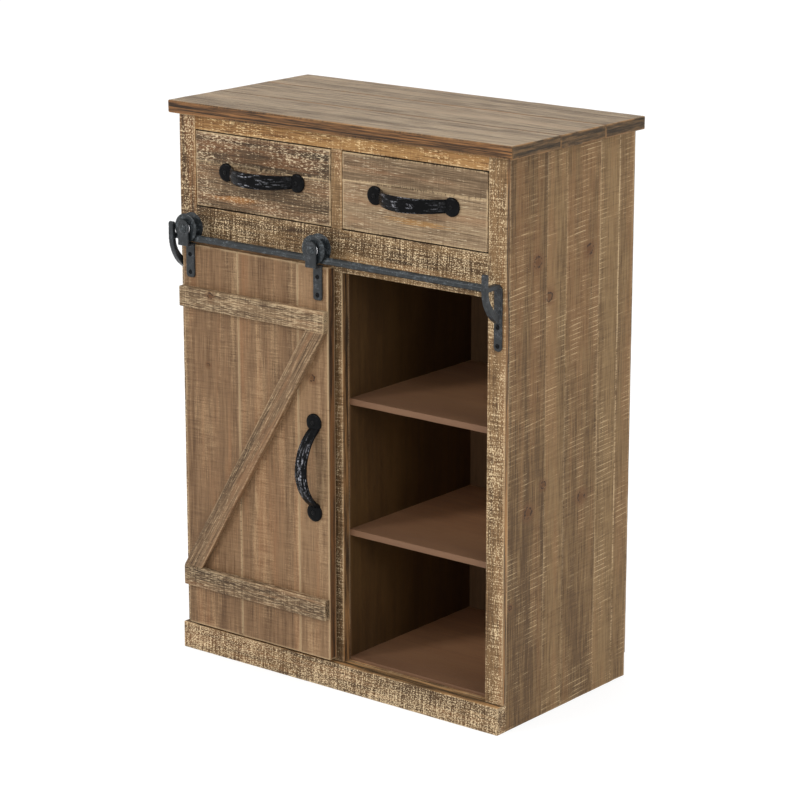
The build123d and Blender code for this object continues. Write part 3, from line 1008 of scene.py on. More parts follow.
    def with_knots(self, colour: Socket) -> Socket:
        """Paint the knots: a dark broken rim round a brown heart, in a soft halo, frayed by the streaks.

        Args:
            colour: the colour so far.

        Returns:
            The colour with knots.
        """
        place = self.place()
        nearest: Value = 9.0
        for knot in self.look.knots:
            radii = (knot.radius * 1.1, knot.radius * 1.1, knot.radius)
            nearest = self.math("MINIMUM", nearest, self.away(place, knot.place, radii))
        ripple = self.grains(place, (0.004, 0.004, 0.004), 2.0)
        frayed = self.total((nearest, 1.0), (self.streak, 0.8), (ripple, 0.9))
        colour = self.coat(colour, self.KNOT_HALO, self.span(frayed, 3.4, 1.9), 0.65)
        off_rim = self.math("ABSOLUTE", self.math("SUBTRACT", frayed, 1.75))
        gap = self.span(self.grains(place, (0.007, 0.007, 0.007), 1.0), 0.40, 0.52)
        colour = self.coat(colour, self.KNOT_RIM, self.times(self.span(off_rim, 0.30, 0.06), gap), 0.95)
        return self.coat(colour, self.KNOT_HEART, self.span(frayed, 1.7, 1.3), 0.65)


@dataclass(frozen=True)
class StainedFinish:
    """A plain panel under a dark stain, with a little grain showing and a painted shade that darkens it towards the
    front.
    """

    name: str
    dark: Tint
    light: Tint
    rubbed: Tint = (118, 84, 56)
    rub: float = 0.4
    # front_shade: strength of a painted shade that darkens the panel towards the front; front_shade_depth: the Y
    # where it starts and where it is full
    front_shade: float = 0.0
    front_shade_depth: tuple[float, float] = (0.060, -0.110)

    def material(self) -> Material:
        """Build the finish.

        Returns:
            The material.
        """
        pen = FinishPen(self.name)
        grain = pen.attribute("grain", "Vector")
        drift = pen.grains(grain, (0.22, 0.06, 0.06))
        streak = pen.grains(grain, (0.14, 0.007, 0.007), 5.0, 0.6)
        fibre = pen.grains(grain, (0.018, 0.0010, 0.0010), 3.0, 0.6)
        level = pen.total((drift, 0.45), (streak, 0.4), (fibre, 0.25))
        colour = pen.ramp(pen.span(level, 0.40, 0.70), ((0.0, self.dark), (1.0, self.light)))
        worn = pen.times(pen.attribute("arris"), pen.span(streak, 0.46, 0.6))
        colour = pen.coat(colour, self.rubbed, worn, self.rub)
        # a darker tint for the pores, used again below for the painted shade at the front
        pore_and_shade_tint = shaded(self.dark, 0.5)
        colour = pen.coat(colour, pore_and_shade_tint, pen.span(fibre, 0.36, 0.26), 0.5)
        # painted shade: darker towards the front (lower Y), where the lamps light the shelves most
        if self.front_shade:
            parts = pen.node("ShaderNodeSeparateXYZ", {0: pen.place()})
            colour = pen.coat(colour, pore_and_shade_tint, pen.span(parts.outputs[1], *self.front_shade_depth), self.front_shade)
        rough = pen.math("ADD", pen.times(streak, 0.3), 0.45)
        return pen.surface(colour, rough, pen.bump(fibre, 0.0003), specular=0.3)


@dataclass(frozen=True)
class IronFinish:
    """Forged iron under a dark coat that is rubbed off the high spots, with a pale painted glint where the mesh
    carries one.
    """

    name: str
    coat: Tint
    rubbed: Tint
    rub: float
    gloss: float
    specular: float
    metallic: float = 0.0
    # tint of a painted glint, laid where the mesh carries one
    gleam: Tint | None = None

    def material(self) -> Material:
        """Build the finish.

        Returns:
            The material.
        """
        pen = FinishPen(self.name)
        place = pen.place()
        cloud = pen.grains(place, (0.010, 0.010, 0.010), 4.0, 0.6)
        scale = pen.grains(place, (0.0022, 0.0022, 0.0022), 4.0, 0.6)
        pitted = pen.grains(place, (0.0007, 0.0007, 0.0007), 2.0, 0.6)
        worn = pen.span(pen.total((cloud, 0.5), (scale, 0.5)), 0.50, 0.66)
        colour = pen.coat(linear(self.coat), self.rubbed, worn, self.rub)
        # painted glint: a pale tint laid where the mesh carries it, broken into flecks
        if self.gleam:
            flecks = pen.span(pen.grains(place, (0.0032, 0.0032, 0.0032), 3.0, 0.7), 0.44, 0.60)
            colour = pen.coat(colour, self.gleam, pen.attribute("gleam"), flecks)
        rough = pen.math("ADD", pen.times(scale, 0.25), self.gloss)
        relief = pen.total((scale, 0.7), (pitted, 0.3))
        return pen.surface(colour, rough, pen.bump(relief, 0.0003), metallic=self.metallic,
                           specular=self.specular)


@dataclass(frozen=True)
class Finishes:
    """Every finish of the cabinet, built once."""

    top: Material
    stiles: Material
    inner_stiles: Material
    rails: Material
    plinth: Material
    top_rail: Material
    side_boards: Material
    left_drawer: Material
    right_drawer: Material
    planks: Material
    battens: Material
    brace: Material
    shelves: Material
    lining: Material
    backing: Material
    drawer_box: Material
    black_iron: Material
    worn_iron: Material
    screws: Material
    strap_iron: Material
    hub_steel: Material


def make_finishes() -> Finishes:
    """Build every finish of the cabinet.

    Returns:
        The finishes.
    """
    sawn = SawnFinish("stile_wash", dark=(66, 46, 26), mid=(116, 88, 57), light=(150, 119, 82),
                      tones=0.30, wash=(230, 205, 164), bare=0.07, crisp=0.07, fleck=(0.0024, 0.0018), saw=0.7,
                      pits=0.8, flank=(112, 82, 52), rub=0.5)
    side_knots = (Knot((0.284, -0.050, 0.635), 0.0075), Knot((0.284, 0.066, 0.633), 0.0075),
                  Knot((0.284, -0.024, 0.584), 0.0065), Knot((0.284, -0.066, 0.297), 0.0075),
                  Knot((0.284, 0.056, 0.291), 0.0075), Knot((0.284, -0.0325, 0.328), 0.0050),
                  Knot((0.284, -0.104, 0.174), 0.0032), Knot((-0.284, 0.030, 0.520), 0.006),
                  Knot((-0.284, -0.060, 0.210), 0.006), Knot((-0.284, 0.095, 0.700), 0.006))
    # rails: the very dark flank is painted shade for the gaps along the rail's edges
    rails = replace(sawn, name="rail_wash", dark=(58, 40, 22), mid=(114, 87, 56), light=(156, 126, 87),
                    wash=(238, 213, 172), wash_share=0.92, bare=0.04, crisp=0.07, fleck=(0.0026, 0.0016),
                    blotch=0.25, saw=0.6, pits=0.9, flank=(56, 40, 24))
    battens = replace(sawn, name="batten_wash", dark=(64, 47, 30), mid=(116, 92, 66), light=(154, 128, 96),
                      fleck=(0.013, 0.0012), saw=0.3, bare=0.0, crisp=0.12, wash=(204, 180, 144),
                      wash_share=0.68, streaks=0.7, blotch=0.15, pits=0.8, rub=0.3, flank=None,
                      knots=(Knot((-0.205, -0.149, 0.537), 0.0045),))
    crack = Blush((0.110, -0.140, 0.7923), (0.210, 0.020, 0.0011), (50, 32, 18), 0.85)
    top_joints = tuple(Blush((0.0, y, 0.8), (0.8, 0.0032, 0.010), (66, 50, 34), 0.75) for y in (-0.023, 0.079))
    looks = dict(
        top=SawnFinish("top_wash", dark=(90, 72, 53), mid=(138, 119, 95), light=(172, 153, 126), contrast=1.4,
                       warmth=0.15, wash=(206, 190, 160), wash_share=0.55, bare=0.13, fleck=(0.060, 0.0013),
                       patch=(0.25, 0.030), streaks=0.7, streak_width=0.0022, tones=0.03, saw=0.1, pits=0.6,
                       flank=(98, 68, 41), ends=(79, 61, 40), rubbed=(166, 124, 80),
                       cracks=(crack, *top_joints)),
        stiles=sawn,
        inner_stiles=replace(sawn, name="inner_stile_wash", crisp=0.12, wash_share=0.7,
                             flank=(104, 76, 47)),
        rails=rails,
        plinth=replace(rails, name="plinth_wash", dark=(74, 52, 29), mid=(128, 98, 64), light=(166, 135, 94),
                       bare=-0.01, crisp=0.12, wash_share=0.82, blotch=0.2, flank=(128, 98, 64)),
        # top_rail: the very dark flank is painted shade for the gap along its edges
        top_rail=replace(sawn, name="top_rail_wash", dark=(54, 31, 13), mid=(124, 86, 47), light=(170, 130, 80),
                         wash=(240, 208, 156), wash_share=0.9, crisp=0.06, fleck=(0.0080, 0.0013), saw=0.3,
                         pits=0.9, flank=(56, 38, 21)),
        side_boards=replace(sawn, name="side_board_wash", dark=(80, 58, 34), mid=(116, 90, 58), light=(140, 114, 78),
                            contrast=1.15, tones=0.16, warm=(120, 80, 47), warmth=0.4, wash=(212, 186, 144),
                            wash_share=0.8, bare=0.23, patch=(0.110, 0.035), streak_width=0.0026, saw=0.5,
                            ridges=0.9, pits=0.5, flank=None, rub=0.8, knots=side_knots),
        # left_drawer and right_drawer: the very dark flank is painted shade for the gaps above and below the drawer
        # faces
        left_drawer=replace(sawn, name="left_drawer_wash", dark=(54, 40, 26), mid=(100, 79, 56),
                            light=(146, 120, 90), streaks=0.7, streak_width=0.0022, fleck=(0.0052, 0.0012), saw=0.3,
                            bare=0.05, crisp=0.12, wash=(228, 206, 170), wash_share=0.78, pits=0.8, rub=0.75,
                            flank=(50, 36, 23),
                            blushes=(Blush((-0.175, -0.120, 0.672), (0.048, 0.02, 0.0065), (176, 116, 52), 0.5),)),
        right_drawer=replace(sawn, name="right_drawer_wash", dark=(92, 73, 52), mid=(134, 111, 85),
                             light=(168, 145, 113), contrast=1.1, streaks=0.7, streak_width=0.0016,
                             fleck=(0.016, 0.0011), saw=0.25, bare=0.10, crisp=0.10, pits=0.8, wash=(226, 208, 174),
                             wash_share=0.65, rub=0.8, flank=(50, 36, 23),
                             blushes=(Blush((0.135, -0.120, 0.680), (0.062, 0.02, 0.006), (184, 130, 56), 0.45),)),
        planks=replace(sawn, name="plank_wash", dark=(84, 60, 38), mid=(122, 93, 65), light=(148, 118, 86),
                       contrast=0.8, wash=(204, 174, 134), wash_share=0.48, bare=-0.02, crisp=0.4, speckle=0.45,
                       patch=(0.20, 0.022), blotch=1.1, saw=0.6, pits=0.4, rub=0.6, broken=0.34,
                       flank=(84, 57, 34),
                       knots=(Knot((-0.029, -0.139, 0.446), 0.0045),
                              Knot((-0.220, -0.139, 0.434), 0.0030))),
        battens=battens,
        brace=replace(battens, name="brace_wash", dark=(58, 42, 26), mid=(106, 82, 58), light=(140, 113, 84),
                      fleck=(0.012, 0.0012), bare=0.06, wash=(196, 170, 134), wash_share=0.65, knots=()),
        # shelves and floor panel: front_shade paints shade towards their front
        shelves=StainedFinish("shelf_stain", dark=(162, 117, 83), light=(184, 138, 100), rub=0.0,
                              front_shade=0.75),
        # lining: a very dark stain, partly painted shade for the dim inside of the bay and behind the drawers
        lining=StainedFinish("lining_stain_and_shade", dark=(60, 40, 18), light=(80, 56, 26)),
        backing=StainedFinish("back_stain", dark=(90, 66, 42), light=(116, 86, 58)),
        drawer_box=StainedFinish("drawer_box_stain", dark=(104, 78, 54), light=(136, 106, 76)),
        # black_iron: gleam is the tint of the painted glint on the pulls
        black_iron=IronFinish("black_iron_coat", coat=(13, 13, 14), rubbed=(30, 30, 32), rub=0.5,
                              gloss=0.05, specular=0.05, gleam=(156, 156, 162)),
        worn_iron=IronFinish("worn_iron_coat", coat=(34, 38, 40), rubbed=(92, 98, 102), rub=0.9,
                             gloss=0.2, specular=0.3),
        screws=IronFinish("screw_coat", coat=(11, 11, 12), rubbed=(26, 26, 28), rub=0.5, gloss=0.2,
                          specular=0.12),
        strap_iron=IronFinish("strap_iron_coat", coat=(36, 39, 41), rubbed=(80, 83, 87), rub=0.8,
                              gloss=0.2, specular=0.3),
        hub_steel=IronFinish("hub_steel", coat=(206, 206, 208), rubbed=(236, 236, 238), rub=0.6, gloss=0.1,
                             specular=0.5, metallic=1.0),
    )
    return Finishes(**{part: look.material() for part, look in looks.items()})


# Sub-assemblies


@dataclass
class Carcass:
    """Top, sides, face frame, plinth and the panels inside."""

    finishes: Finishes
    body: str = "carcass"
    top_boards: tuple[float, ...] = (0.105, 0.102)
    side_boards: tuple[float, ...] = (0.081, 0.044, 0.076, 0.044)
    side_wears: tuple[float, ...] = (0.2, 0.25, 0.35, 0.4, 1.0)
    stile_lap: float = 0.006
    side_thickness: float = 0.012
    cell: float = 0.012

    def build(self) -> None:
        """Build and dress every piece of the carcass."""
        self.build_top()
        self.build_sides()
        self.build_face_frame()
        self.build_inside()

    def build_top(self) -> None:
        """The top: three boards with eased edges."""
        low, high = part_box("top_slab")
        boards = boards_across(low, high, Axis.X, Axis.Y, self.top_boards, seed=11, arris=0.0024, chip=0.0016)
        dress(wooden("top_boards", boards, self.finishes.top), self.body, Slot.TOP, "top_slab")

    def build_sides(self) -> None:
        """The side panels: upright boards with open joints."""
        for side, seed in ((Side.LEFT, 31), (Side.RIGHT, 47)):
            node = f"{side.value}_side_panel"
            low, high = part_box(node)
            boards = boards_across(low, high, Axis.Z, Axis.Y, self.side_boards, seed, self.side_wears, arris=0.0010)
            dress(wooden(f"{side.value}_side_boards", boards, self.finishes.side_boards), self.body,
                  Slot.SIDE_BOARDS, node)

    def build_face_frame(self) -> None:
        """The stiles, which lap the side panels, the rails and the plinth."""
        for side, seed, tone in ((Side.LEFT, 61, 0.1), (Side.RIGHT, 63, 0.7)):
            node = f"{side.value}_stile"
            low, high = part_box(node)
            lap = high.y - self.stile_lap
            face = Board(tuple(low), (high.x, lap, high.z), Axis.Z, seed, tight=("+y",), tone=tone)
            tongue_low, tongue_high = [low.x, lap, low.z], list(high)
            if side is Side.LEFT:
                tongue_low[0] += self.side_thickness
            else:
                tongue_high[0] -= self.side_thickness
            tongue = Board(tuple(tongue_low), tuple(tongue_high), Axis.Z, seed, tight=UPRIGHT_SIDES, tone=tone)
            dress(wooden(f"{node}_board", (face, tongue), self.finishes.stiles), self.body, Slot.FRAME, node)
        single = ((71, "top_rail", Axis.X, self.finishes.top_rail), (72, "mid_rail", Axis.X, self.finishes.rails),
                  (74, "drawer_stile", Axis.Z, self.finishes.inner_stiles),
                  (75, "bay_stile", Axis.Z, self.finishes.inner_stiles))
        for seed, node, grain, finish in single:
            one_board(node, self.body, Slot.FRAME, grain, finish, seed, cell=self.cell)
        self.build_plinth()

    def build_plinth(self, seed: int = 73) -> None:
        """The plinth board, and behind it a fillet that closes the gap to the floor panel.

        Args:
            seed: its number.
        """
        low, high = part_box("plinth")
        board = Board(tuple(low), tuple(high), Axis.X, seed, cell=self.cell, tight=("+y",))
        fillet = Board((low.x + self.side_thickness, high.y, low.z),
                       (high.x - self.side_thickness, high.y + self.stile_lap, high.z),
                       Axis.X, seed, cell=self.cell, tight=UPRIGHT_SIDES)
        dress(wooden("plinth_board", (board, fillet), self.finishes.plinth), self.body, Slot.FRAME, "plinth")

    def build_inside(self) -> None:
        """The floor, deck, divider, partition, shelves, drawer guides and back."""
        lining, shelves = self.finishes.lining, self.finishes.shelves
        panels = [("floor_panel", Axis.X, shelves), ("drawer_deck", Axis.X, lining),
                  ("bay_divider", Axis.Z, lining), ("drawer_partition", Axis.Y, lining),
                  ("back_panel", Axis.Z, self.finishes.backing)]
        for side in Side:
            panels.append((f"{side.value}_drawer_guide", Axis.Y, lining))
            panels += [(f"{side.value}_{level}_shelf", Axis.X, shelves) for level in ("lower", "upper")]
        for seed, (node, grain, finish) in enumerate(panels, 81):
            one_board(node, self.body, Slot.PANEL, grain, finish, seed, cell=self.cell)


@dataclass
class Drawer:
    """A drawer: a face of two boards, a box behind it and a bow pull."""

    side: Side
    finishes: Finishes
    top_board: float
    face_finish: Material
    seed: int
    wall_cell: float = 0.014

    def build(self) -> None:
        """Build and dress every piece of the drawer."""
        body = f"drawer_{self.side.value}"
        name = f"{self.side.value}_drawer"
        low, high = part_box(f"{name}_front")
        lower = high.z - low.z - self.top_board
        boards = boards_across(low, high, Axis.X, Axis.Z, (lower,), self.seed, arris=0.0014, chip=0.0012)
        dress(wooden(f"{name}_face", boards, self.face_finish), body, Slot.DRAWER_FACE, f"{name}_front")
        walls = (("left_side", Axis.Y), ("right_side", Axis.Y), ("back", Axis.X), ("bottom", Axis.X))
        for number, (wall, grain) in enumerate(walls, self.seed + 3):
            one_board(f"{name}_{wall}", body, Slot.PANEL, grain, self.finishes.drawer_box, number,
                      cell=self.wall_cell)
        BowPull(f"{name}_pull", Axis.X, body, self.finishes.black_iron).build()
        ScrewHeads(body, self.finishes.screws, (f"{name}_pull_screws",)).build()


@dataclass
class BarnDoor:
    """The sliding door: planks, battens, brace, pull and the straps that hang it on its rollers."""

    finishes: Finishes
    body: str = "door"
    arris: float = 0.0014

    def build(self) -> None:
        """Build and dress every piece of the door."""
        for seed, (name, tone) in enumerate((("left", 0.5), ("middle", 0.55), ("right", 0.9)), 121):
            one_board(f"door_{name}_plank", self.body, Slot.BARN_DOOR, Axis.Z, self.finishes.planks, seed,
                      arris=self.arris, tone=tone)
        for seed, (name, tone) in enumerate((("lower", 0.2), ("upper", 0.5)), 131):
            one_board(f"door_{name}_batten", self.body, Slot.BARN_DOOR, Axis.X, self.finishes.battens, seed,
                      arris=self.arris, tone=tone)
        self.build_brace()
        BowPull("door_pull", Axis.Z, self.body, self.finishes.black_iron).build()
        ScrewHeads(self.body, self.finishes.screws, ("door_pull_screws", "hanger_screws")).build()
        for side in Side:
            Forging(f"{side.value}_hanger", self.body, self.finishes.strap_iron).build()
            self.build_axle(f"{side.value}_roller_axle")

    def build_brace(self, width: float = 0.028, seed: int = 137) -> None:
        """The brace: a board that leans, with level cuts at both ends.

        Args:
            width: the brace's width, square to its length.
            seed: its number.
        """
        low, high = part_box("door_brace")
        rise, run = high.z - low.z, high.x - low.x
        reach = math.sqrt(rise**2 + run**2 - width**2)
        cut = width * (rise * reach - width * run) / (rise**2 - width**2)
        board = Board(tuple(low), (low.x + cut, high.y, high.z), Axis.Z, seed, arris=self.arris,
                      lean=(run - cut) / rise)
        dress(wooden("door_brace_board", (board,), self.finishes.brace), self.body, Slot.BARN_DOOR, "door_brace")

    def build_axle(self, node: str, head: float = 0.0065, shank: float = 0.004, crown: float = 0.0025) -> None:
        """A roller's axle: a riveted pin with domed heads.

        Args:
            node: the solid.
            head: the heads' radius.
            shank: the pin's radius.
            crown: the heads' height.
        """
        low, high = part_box(node)
        length = high.y - low.y
        half = [(0.0, 0.0), (0.0002, head * 0.55), (crown * 0.45, head * 0.9), (crown, head), (crown, shank)]
        profile = half + [(length - along, radius) for along, radius in reversed(half)]
        shell = Shell()
        middle = ((low.x + high.x) / 2, low.y, (low.z + high.z) / 2)
        turned(shell, rounded(profile, radius=0.0006), middle, Axis.Y, segments=40)
        piece = heal(shell.piece(f"{node}_pin"))
        hammer(piece, self.finishes.worn_iron, dent=0.003, depth=0.0001)
        dress(piece, self.body, Slot.WORN_IRON, node)


@dataclass
class DoorRail:
    """The round rail, its forged brackets and their screws."""

    finishes: Finishes
    body: str = "carcass"
    ring: float = 0.004

    def build(self) -> None:
        """Build and dress every piece of the rail."""
        low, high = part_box("door_rail")
        radius = (high.z - low.z) / 2
        length = high.x - low.x
        along = np.linspace(0, length, round(length / self.ring))
        rod = np.stack([along, np.full_like(along, radius)], axis=1)
        eased = radius * 0.9
        profile = np.concatenate([[(0.0, 0.0), (0.0, eased)], rod[1:-1], [(length, eased), (length, 0.0)]])
        shell = Shell()
        turned(shell, profile, (low.x, (low.y + high.y) / 2, (low.z + high.z) / 2), Axis.X, segments=28)
        piece = heal(shell.piece("door_rail_rod"))
        hammer(piece, self.finishes.worn_iron, dent=0.007, depth=0.00035)
        dress(piece, self.body, Slot.WORN_IRON, "door_rail")
        for side in Side:
            Forging(f"{side.value}_rail_bracket", self.body, self.finishes.strap_iron).build()
        ScrewHeads(self.body, self.finishes.screws, ("bracket_screws",)).build()


@dataclass
class Roller:
    """A grooved roller with a bright hub, which turns on its axle as the door slides."""

    side: Side
    finish: Material
    hub_finish: Material
    groove: float = 0.009
    groove_half: float = 0.00455
    crest_half: float = 0.00658
    face_half: float = 0.0077
    rim: float = 0.018
    hub: float = 0.0095
    bore: float = 0.00405

    def build(self) -> None:
        """Build and dress the roller."""
        node = f"{self.side.value}_roller"
        low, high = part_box(node)
        hub_half = (high.y - low.y) / 2
        flange = (high.z - low.z) / 2
        centre = tuple((low + high) / 2)
        side = [(self.groove_half, self.groove), (self.crest_half, flange), (self.face_half, self.rim),
                (self.face_half, self.bore)]
        wheel = Shell()
        across = [(-along, radius) for along, radius in reversed(side)] + side
        turned(wheel, self.closed(across), centre, Axis.Y, segments=72)
        piece = heal(wheel.piece(f"{node}_wheel"))
        hammer(piece, self.finish, dent=0.006, depth=0.00022)
        dress(piece, f"roller_{self.side.value}", Slot.WORN_IRON, node)
        hubs = Shell()
        for end in (-1, 1):
            boss = [(end * self.face_half, self.bore), (end * self.face_half, self.hub), (end * hub_half, self.hub),
                    (end * hub_half, self.bore)]
            turned(hubs, self.closed(boss), centre, Axis.Y, segments=48)
        piece = heal(hubs.piece(f"{node}_hubs", self.hub_finish))
        dress(piece, f"roller_{self.side.value}", Slot.WORN_IRON)

    def closed(self, corners: Sequence[tuple[float, float]]) -> np.ndarray:
        """A ring's profile with eased corners, closed along the bore."""
        outline = rounded(corners, radius=0.0009)
        return np.concatenate([outline, np.linspace(outline[-1], outline[0], 4)[1:]])


@dataclass
class BowPull:
    """A cast pull: a dented bow that swells in the middle, between two hammered pads."""

    node: str
    along: Axis
    body: str
    finish: Material
    pitch: float = 0.128
    foot: float = 0.054
    crown: float = 0.0300
    foot_rise: float = 0.0014
    half_thickness: float = 0.0030
    half_neck: float = 0.0085
    half_swell: float = 0.0105
    pad_radius: float = 0.0130
    pad_thickness: float = 0.004
    rings: int = 180
    segments: int = 96
    overrun: float = 1.05
    end_thickening: float = 0.25
    dent_rates: tuple[float, float] = (75.0, 14.0)
    dents: float = 0.0014
    dent_share: float = 0.5
    # dent height at which the painted glint starts
    glint_dent: float = 0.0005

    def build(self) -> None:
        """Build and dress the pull."""
        low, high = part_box(self.node)
        seat = np.array([(low.x + high.x) / 2, high.y, (low.z + high.z) / 2])
        shell = Shell()
        self.add_bow(shell, seat)
        for end in (-1, 1):
            centre = seat.copy()
            centre[self.along.value] += end * self.pitch / 2
            r, t = self.pad_radius, self.pad_thickness
            profile = [(0.0, 0.0), (0.0, r), (-t * 0.62, r), (-t * 0.96, r * 0.82), (-t, r * 0.4), (-t, 0.0)]
            turned(shell, rounded(profile, radius=0.0012), tuple(centre), Axis.Y, segments=48)
        piece = heal(shell.piece(f"{self.node}_casting"))
        hammer(piece, self.finish, dent=0.0045, depth=0.00025)
        dress(piece, self.body, Slot.BLACK_IRON, self.node)

    def add_bow(self, shell: Shell, seat: np.ndarray) -> None:
        """Add the bow, with shallow dents along it and a painted glint on their crests.

        Args:
            shell: the piece.
            seat: the middle of the pull on the face that carries it.
        """
        rise = self.crown - self.foot_rise
        bend = (self.foot**2 + rise**2) / (2 * rise)
        reach = math.asin(self.foot / bend)
        turns = np.linspace(-reach * self.overrun, reach * self.overrun, self.rings)
        angles = np.linspace(0, 2 * math.pi, self.segments, endpoint=False)
        along = bend * np.sin(turns)
        out = self.crown - bend * (1 - np.cos(turns))
        swell = 1 - (along / (self.pitch / 2)) ** 2
        half_width = self.half_neck + (self.half_swell - self.half_neck) * swell
        half_thick = self.half_thickness * (1 + self.end_thickening * (1 - swell))
        ease = 2 / 2.2
        side = np.sign(np.sin(angles)) * np.abs(np.sin(angles)) ** ease
        face = np.sign(np.cos(angles)) * np.abs(np.cos(angles)) ** ease
        lengthwise, round_it = self.dent_rates
        own = seat[0] * 9 + seat[2] * 5
        dent = np.array([[noise.noise(Vector((a * lengthwise, s * round_it, own)))
                          for s in angles_wrapped(angles)] for a in along]) * self.dents
        # painted glint: a pale streak on the dents' crests, strongest in the middle of the bow
        gleam = np.clip(dent / self.glint_dent - 0.35, 0, 1) * swell[:, None] ** 2 * (face > 0.1)[None, :]
        lift = (half_thick[:, None] + self.dent_share * dent * swell[:, None]) * face[None, :]
        points = np.zeros((self.rings, self.segments, 3))
        width_axis = Axis.Z.value if self.along is Axis.X else Axis.X.value
        points[:, :, self.along.value] = along[:, None] + np.sin(turns)[:, None] * lift
        points[:, :, Axis.Y.value] = -(out[:, None] + np.cos(turns)[:, None] * lift)
        points[:, :, width_axis] = half_width[:, None] * side[None, :]
        caps = [np.repeat(ring.mean(axis=0)[None, None, :], self.segments, axis=1)
                for ring in (points[0], points[-1])]
        points = np.concatenate([caps[0], points, caps[1]])
        gleam = np.pad(gleam, ((1, 1), (0, 0)))
        shell.add(points.reshape(-1, 3) + seat, ring_faces(len(points), self.segments), gleam=gleam.ravel())


def angles_wrapped(angles: np.ndarray) -> np.ndarray:
    """Angles round a section, as a wave that closes on itself."""
    return np.abs(angles - math.pi) / math.pi


@dataclass
class Forging:
    """A bar forged to the shape of its solid, with softened edges and hammer marks."""

    node: str
    body: str
    finish: Material
    voxel: float = 0.0008

    def build(self) -> None:
        """Build and dress the forging."""
        piece = bpy.data.objects.new(f"{self.node}_forging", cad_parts[self.node].data.copy())
        bpy.context.scene.collection.objects.link(piece)
        heal(piece)
        remesh = piece.modifiers.new("even", "REMESH")
        remesh.mode = "VOXEL"
        remesh.voxel_size = self.voxel
        soften = piece.modifiers.new("soften", "SMOOTH")
        soften.iterations = 3
        hammer(piece, self.finish, dent=0.0055, depth=0.0004)
        dress(piece, self.body, Slot.BLACK_IRON, self.node)


@dataclass
class ScrewHeads:
    """The screw heads of one body."""

    body: str
    finish: Material
    nodes: tuple[str, ...]
    head_radius: float = 0.0034
    head_height: float = 0.0016
    recess_width: float = 0.0009
    apart: float = 0.008

    def build(self) -> None:
        """Build and dress the heads, as one piece."""
        shell = Shell()
        seats = np.array([seat for node in self.nodes for seat in self.seats(node)])
        shell.add(seats, np.zeros((0, 4), int))
        piece = shell.piece(f"{self.body}_{self.nodes[0]}_heads")
        SCREW_NODES.run(piece, head_radius=self.head_radius, head_height=self.head_height,
                        recess_width=self.recess_width, seed=len(seats), material=self.finish)
        dress(settle(piece), self.body, Slot.SCREWS, *self.nodes)

    def seats(self, node: str) -> list[np.ndarray]:
        """Where the screws of a solid bear.

        Args:
            node: the solid, which may hold several screws.

        Returns:
            A point under the middle of each head.
        """
        points = np.array([vertex.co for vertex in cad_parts[node].data.vertices])
        groups: list[list[np.ndarray]] = []
        for point in points:
            near = next((g for g in groups if abs(g[0][0] - point[0]) < self.apart
                         and abs(g[0][2] - point[2]) < self.apart), None)
            if near is None:
                groups.append([point])
            else:
                near.append(point)
        spans = [(np.min(group, axis=0), np.max(group, axis=0)) for group in groups]
        return [np.array([(a[0] + b[0]) / 2, a[1] + self.head_height, (a[2] + b[2]) / 2]) for a, b in spans]


# The studio and the whole


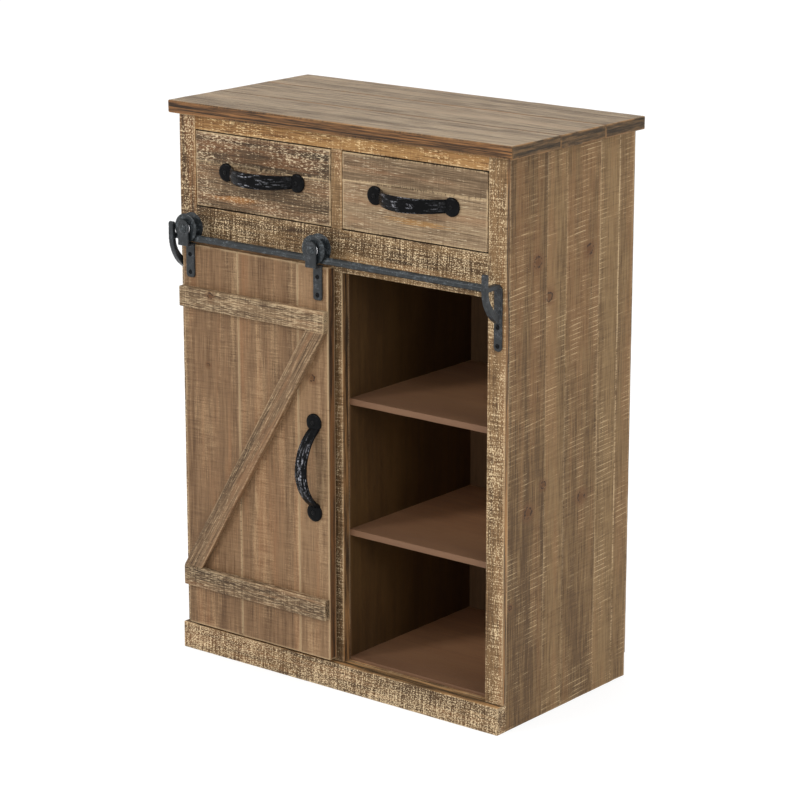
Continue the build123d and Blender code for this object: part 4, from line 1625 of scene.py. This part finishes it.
@dataclass
class Studio:
    """Camera, soft light, floor and white surroundings."""

    camera_place: Triple = (2.47043, -3.07092, 1.44902)
    camera_tilt: float = 0.26225
    camera_turn: float = 0.67484
    lens: float = 131.51
    sensor: float = 36.0
    floor_size: float = 14.0
    floor_shade: float = 0.8
    floor_seen_shade: float = 0.34
    floor_glow: float = 0.74
    surround: float = 0.95
    lamps: tuple[tuple[str, Triple, float, float], ...] = (
        ("key", (-1.6, -3.4, 2.5), 0.7, 42.0), ("fill", (3.6, -1.6, 1.7), 1.2, 33.0),
        ("overhead", (0.2, -0.6, 3.6), 1.6, 10.0))

    def build(self) -> None:
        """Build the studio."""
        self.build_camera()
        self.build_floor()
        self.build_world()
        for name, place, size, power in self.lamps:
            self.build_lamp(name, place, size, power)
        bpy.context.scene.view_settings.view_transform = "Standard"

    def build_camera(self) -> None:
        """The camera, where the photograph was taken from."""
        data = bpy.data.cameras.new("camera")
        data.lens = self.lens
        data.sensor_width = self.sensor
        camera = bpy.data.objects.new("camera", data)
        camera.location = self.camera_place
        camera.rotation_euler = (math.pi / 2 - self.camera_tilt, 0.0, self.camera_turn)
        bpy.context.scene.collection.objects.link(camera)
        bpy.context.scene.camera = camera

    def build_floor(self) -> None:
        """The floor: white to the camera, and still shaded where the cabinet stands."""
        half = self.floor_size / 2
        shell = Shell()
        shell.add(np.array([(-half, -half, 0.0), (half, -half, 0.0), (half, half, 0.0), (-half, half, 0.0)]),
                  np.array([[0, 1, 2, 3]]))
        pen = FinishPen("floor_paint")
        paint, seen = (pen.made("ShaderNodeBsdfDiffuse", {"Color": (shade, shade, shade, 1.0)})
                       for shade in (self.floor_shade, self.floor_seen_shade))
        glow = pen.made("ShaderNodeEmission", {"Strength": self.floor_glow})
        lit = pen.made("ShaderNodeAddShader", {0: seen, 1: glow})
        chosen = pen.made("ShaderNodeMixShader", {0: self.seen_directly(pen), 1: paint, 2: lit})
        pen.node("ShaderNodeOutputMaterial", {"Surface": chosen})
        shell.piece("floor", pen.material)

    def build_world(self) -> None:
        """The surroundings: an even light, and white where they are seen."""
        world = bpy.data.worlds.new("surroundings")
        world.use_nodes = True
        bpy.context.scene.world = world
        pen = TreePen(world.node_tree)
        light, white = (pen.made("ShaderNodeBackground", {"Color": (1.0, 1.0, 1.0, 1.0), "Strength": strength})
                        for strength in (self.surround, 1.0))
        chosen = pen.made("ShaderNodeMixShader", {0: self.seen_directly(pen), 1: light, 2: white})
        pen.node("ShaderNodeOutputWorld", {"Surface": chosen})

    @staticmethod
    def seen_directly(pen: TreePen) -> Socket:
        """Whether a ray comes from the camera, a gloss or a clear piece.

        Args:
            pen: the tree at hand.

        Returns:
            1 for such a ray, and else 0.
        """
        path = pen.node("ShaderNodeLightPath").outputs
        glossy = pen.math("MAXIMUM", path["Is Glossy Ray"], path["Is Transmission Ray"])
        return pen.math("MAXIMUM", path["Is Camera Ray"], glossy)

    @staticmethod
    def build_lamp(name: str, place: Triple, size: float, power: float) -> None:
        """A soft lamp that looks at the cabinet.

        Args:
            name: the lamp's name.
            place: where it hangs.
            size: its side.
            power: its power in watts.
        """
        data = bpy.data.lights.new(name, "AREA")
        data.size = size
        data.energy = power
        lamp = bpy.data.objects.new(name, data)
        lamp.location = place
        lamp.rotation_euler = (LAMP_TARGET - Vector(place)).to_track_quat("-Z", "Y").to_euler()
        bpy.context.scene.collection.objects.link(lamp)


def main() -> None:
    """Build the cabinet and the studio round it."""
    logging.basicConfig(level=logging.INFO, format="%(name)s: %(message)s")
    finishes = make_finishes()
    Carcass(finishes).build()
    Drawer(Side.LEFT, finishes, top_board=0.042, face_finish=finishes.left_drawer, seed=101).build()
    Drawer(Side.RIGHT, finishes, top_board=0.037, face_finish=finishes.right_drawer, seed=111).build()
    BarnDoor(finishes).build()
    DoorRail(finishes).build()
    for side in Side:
        Roller(side, finishes.worn_iron, finishes.hub_steel).build()
    Studio().build()


if __name__ == "__main__":
    main()
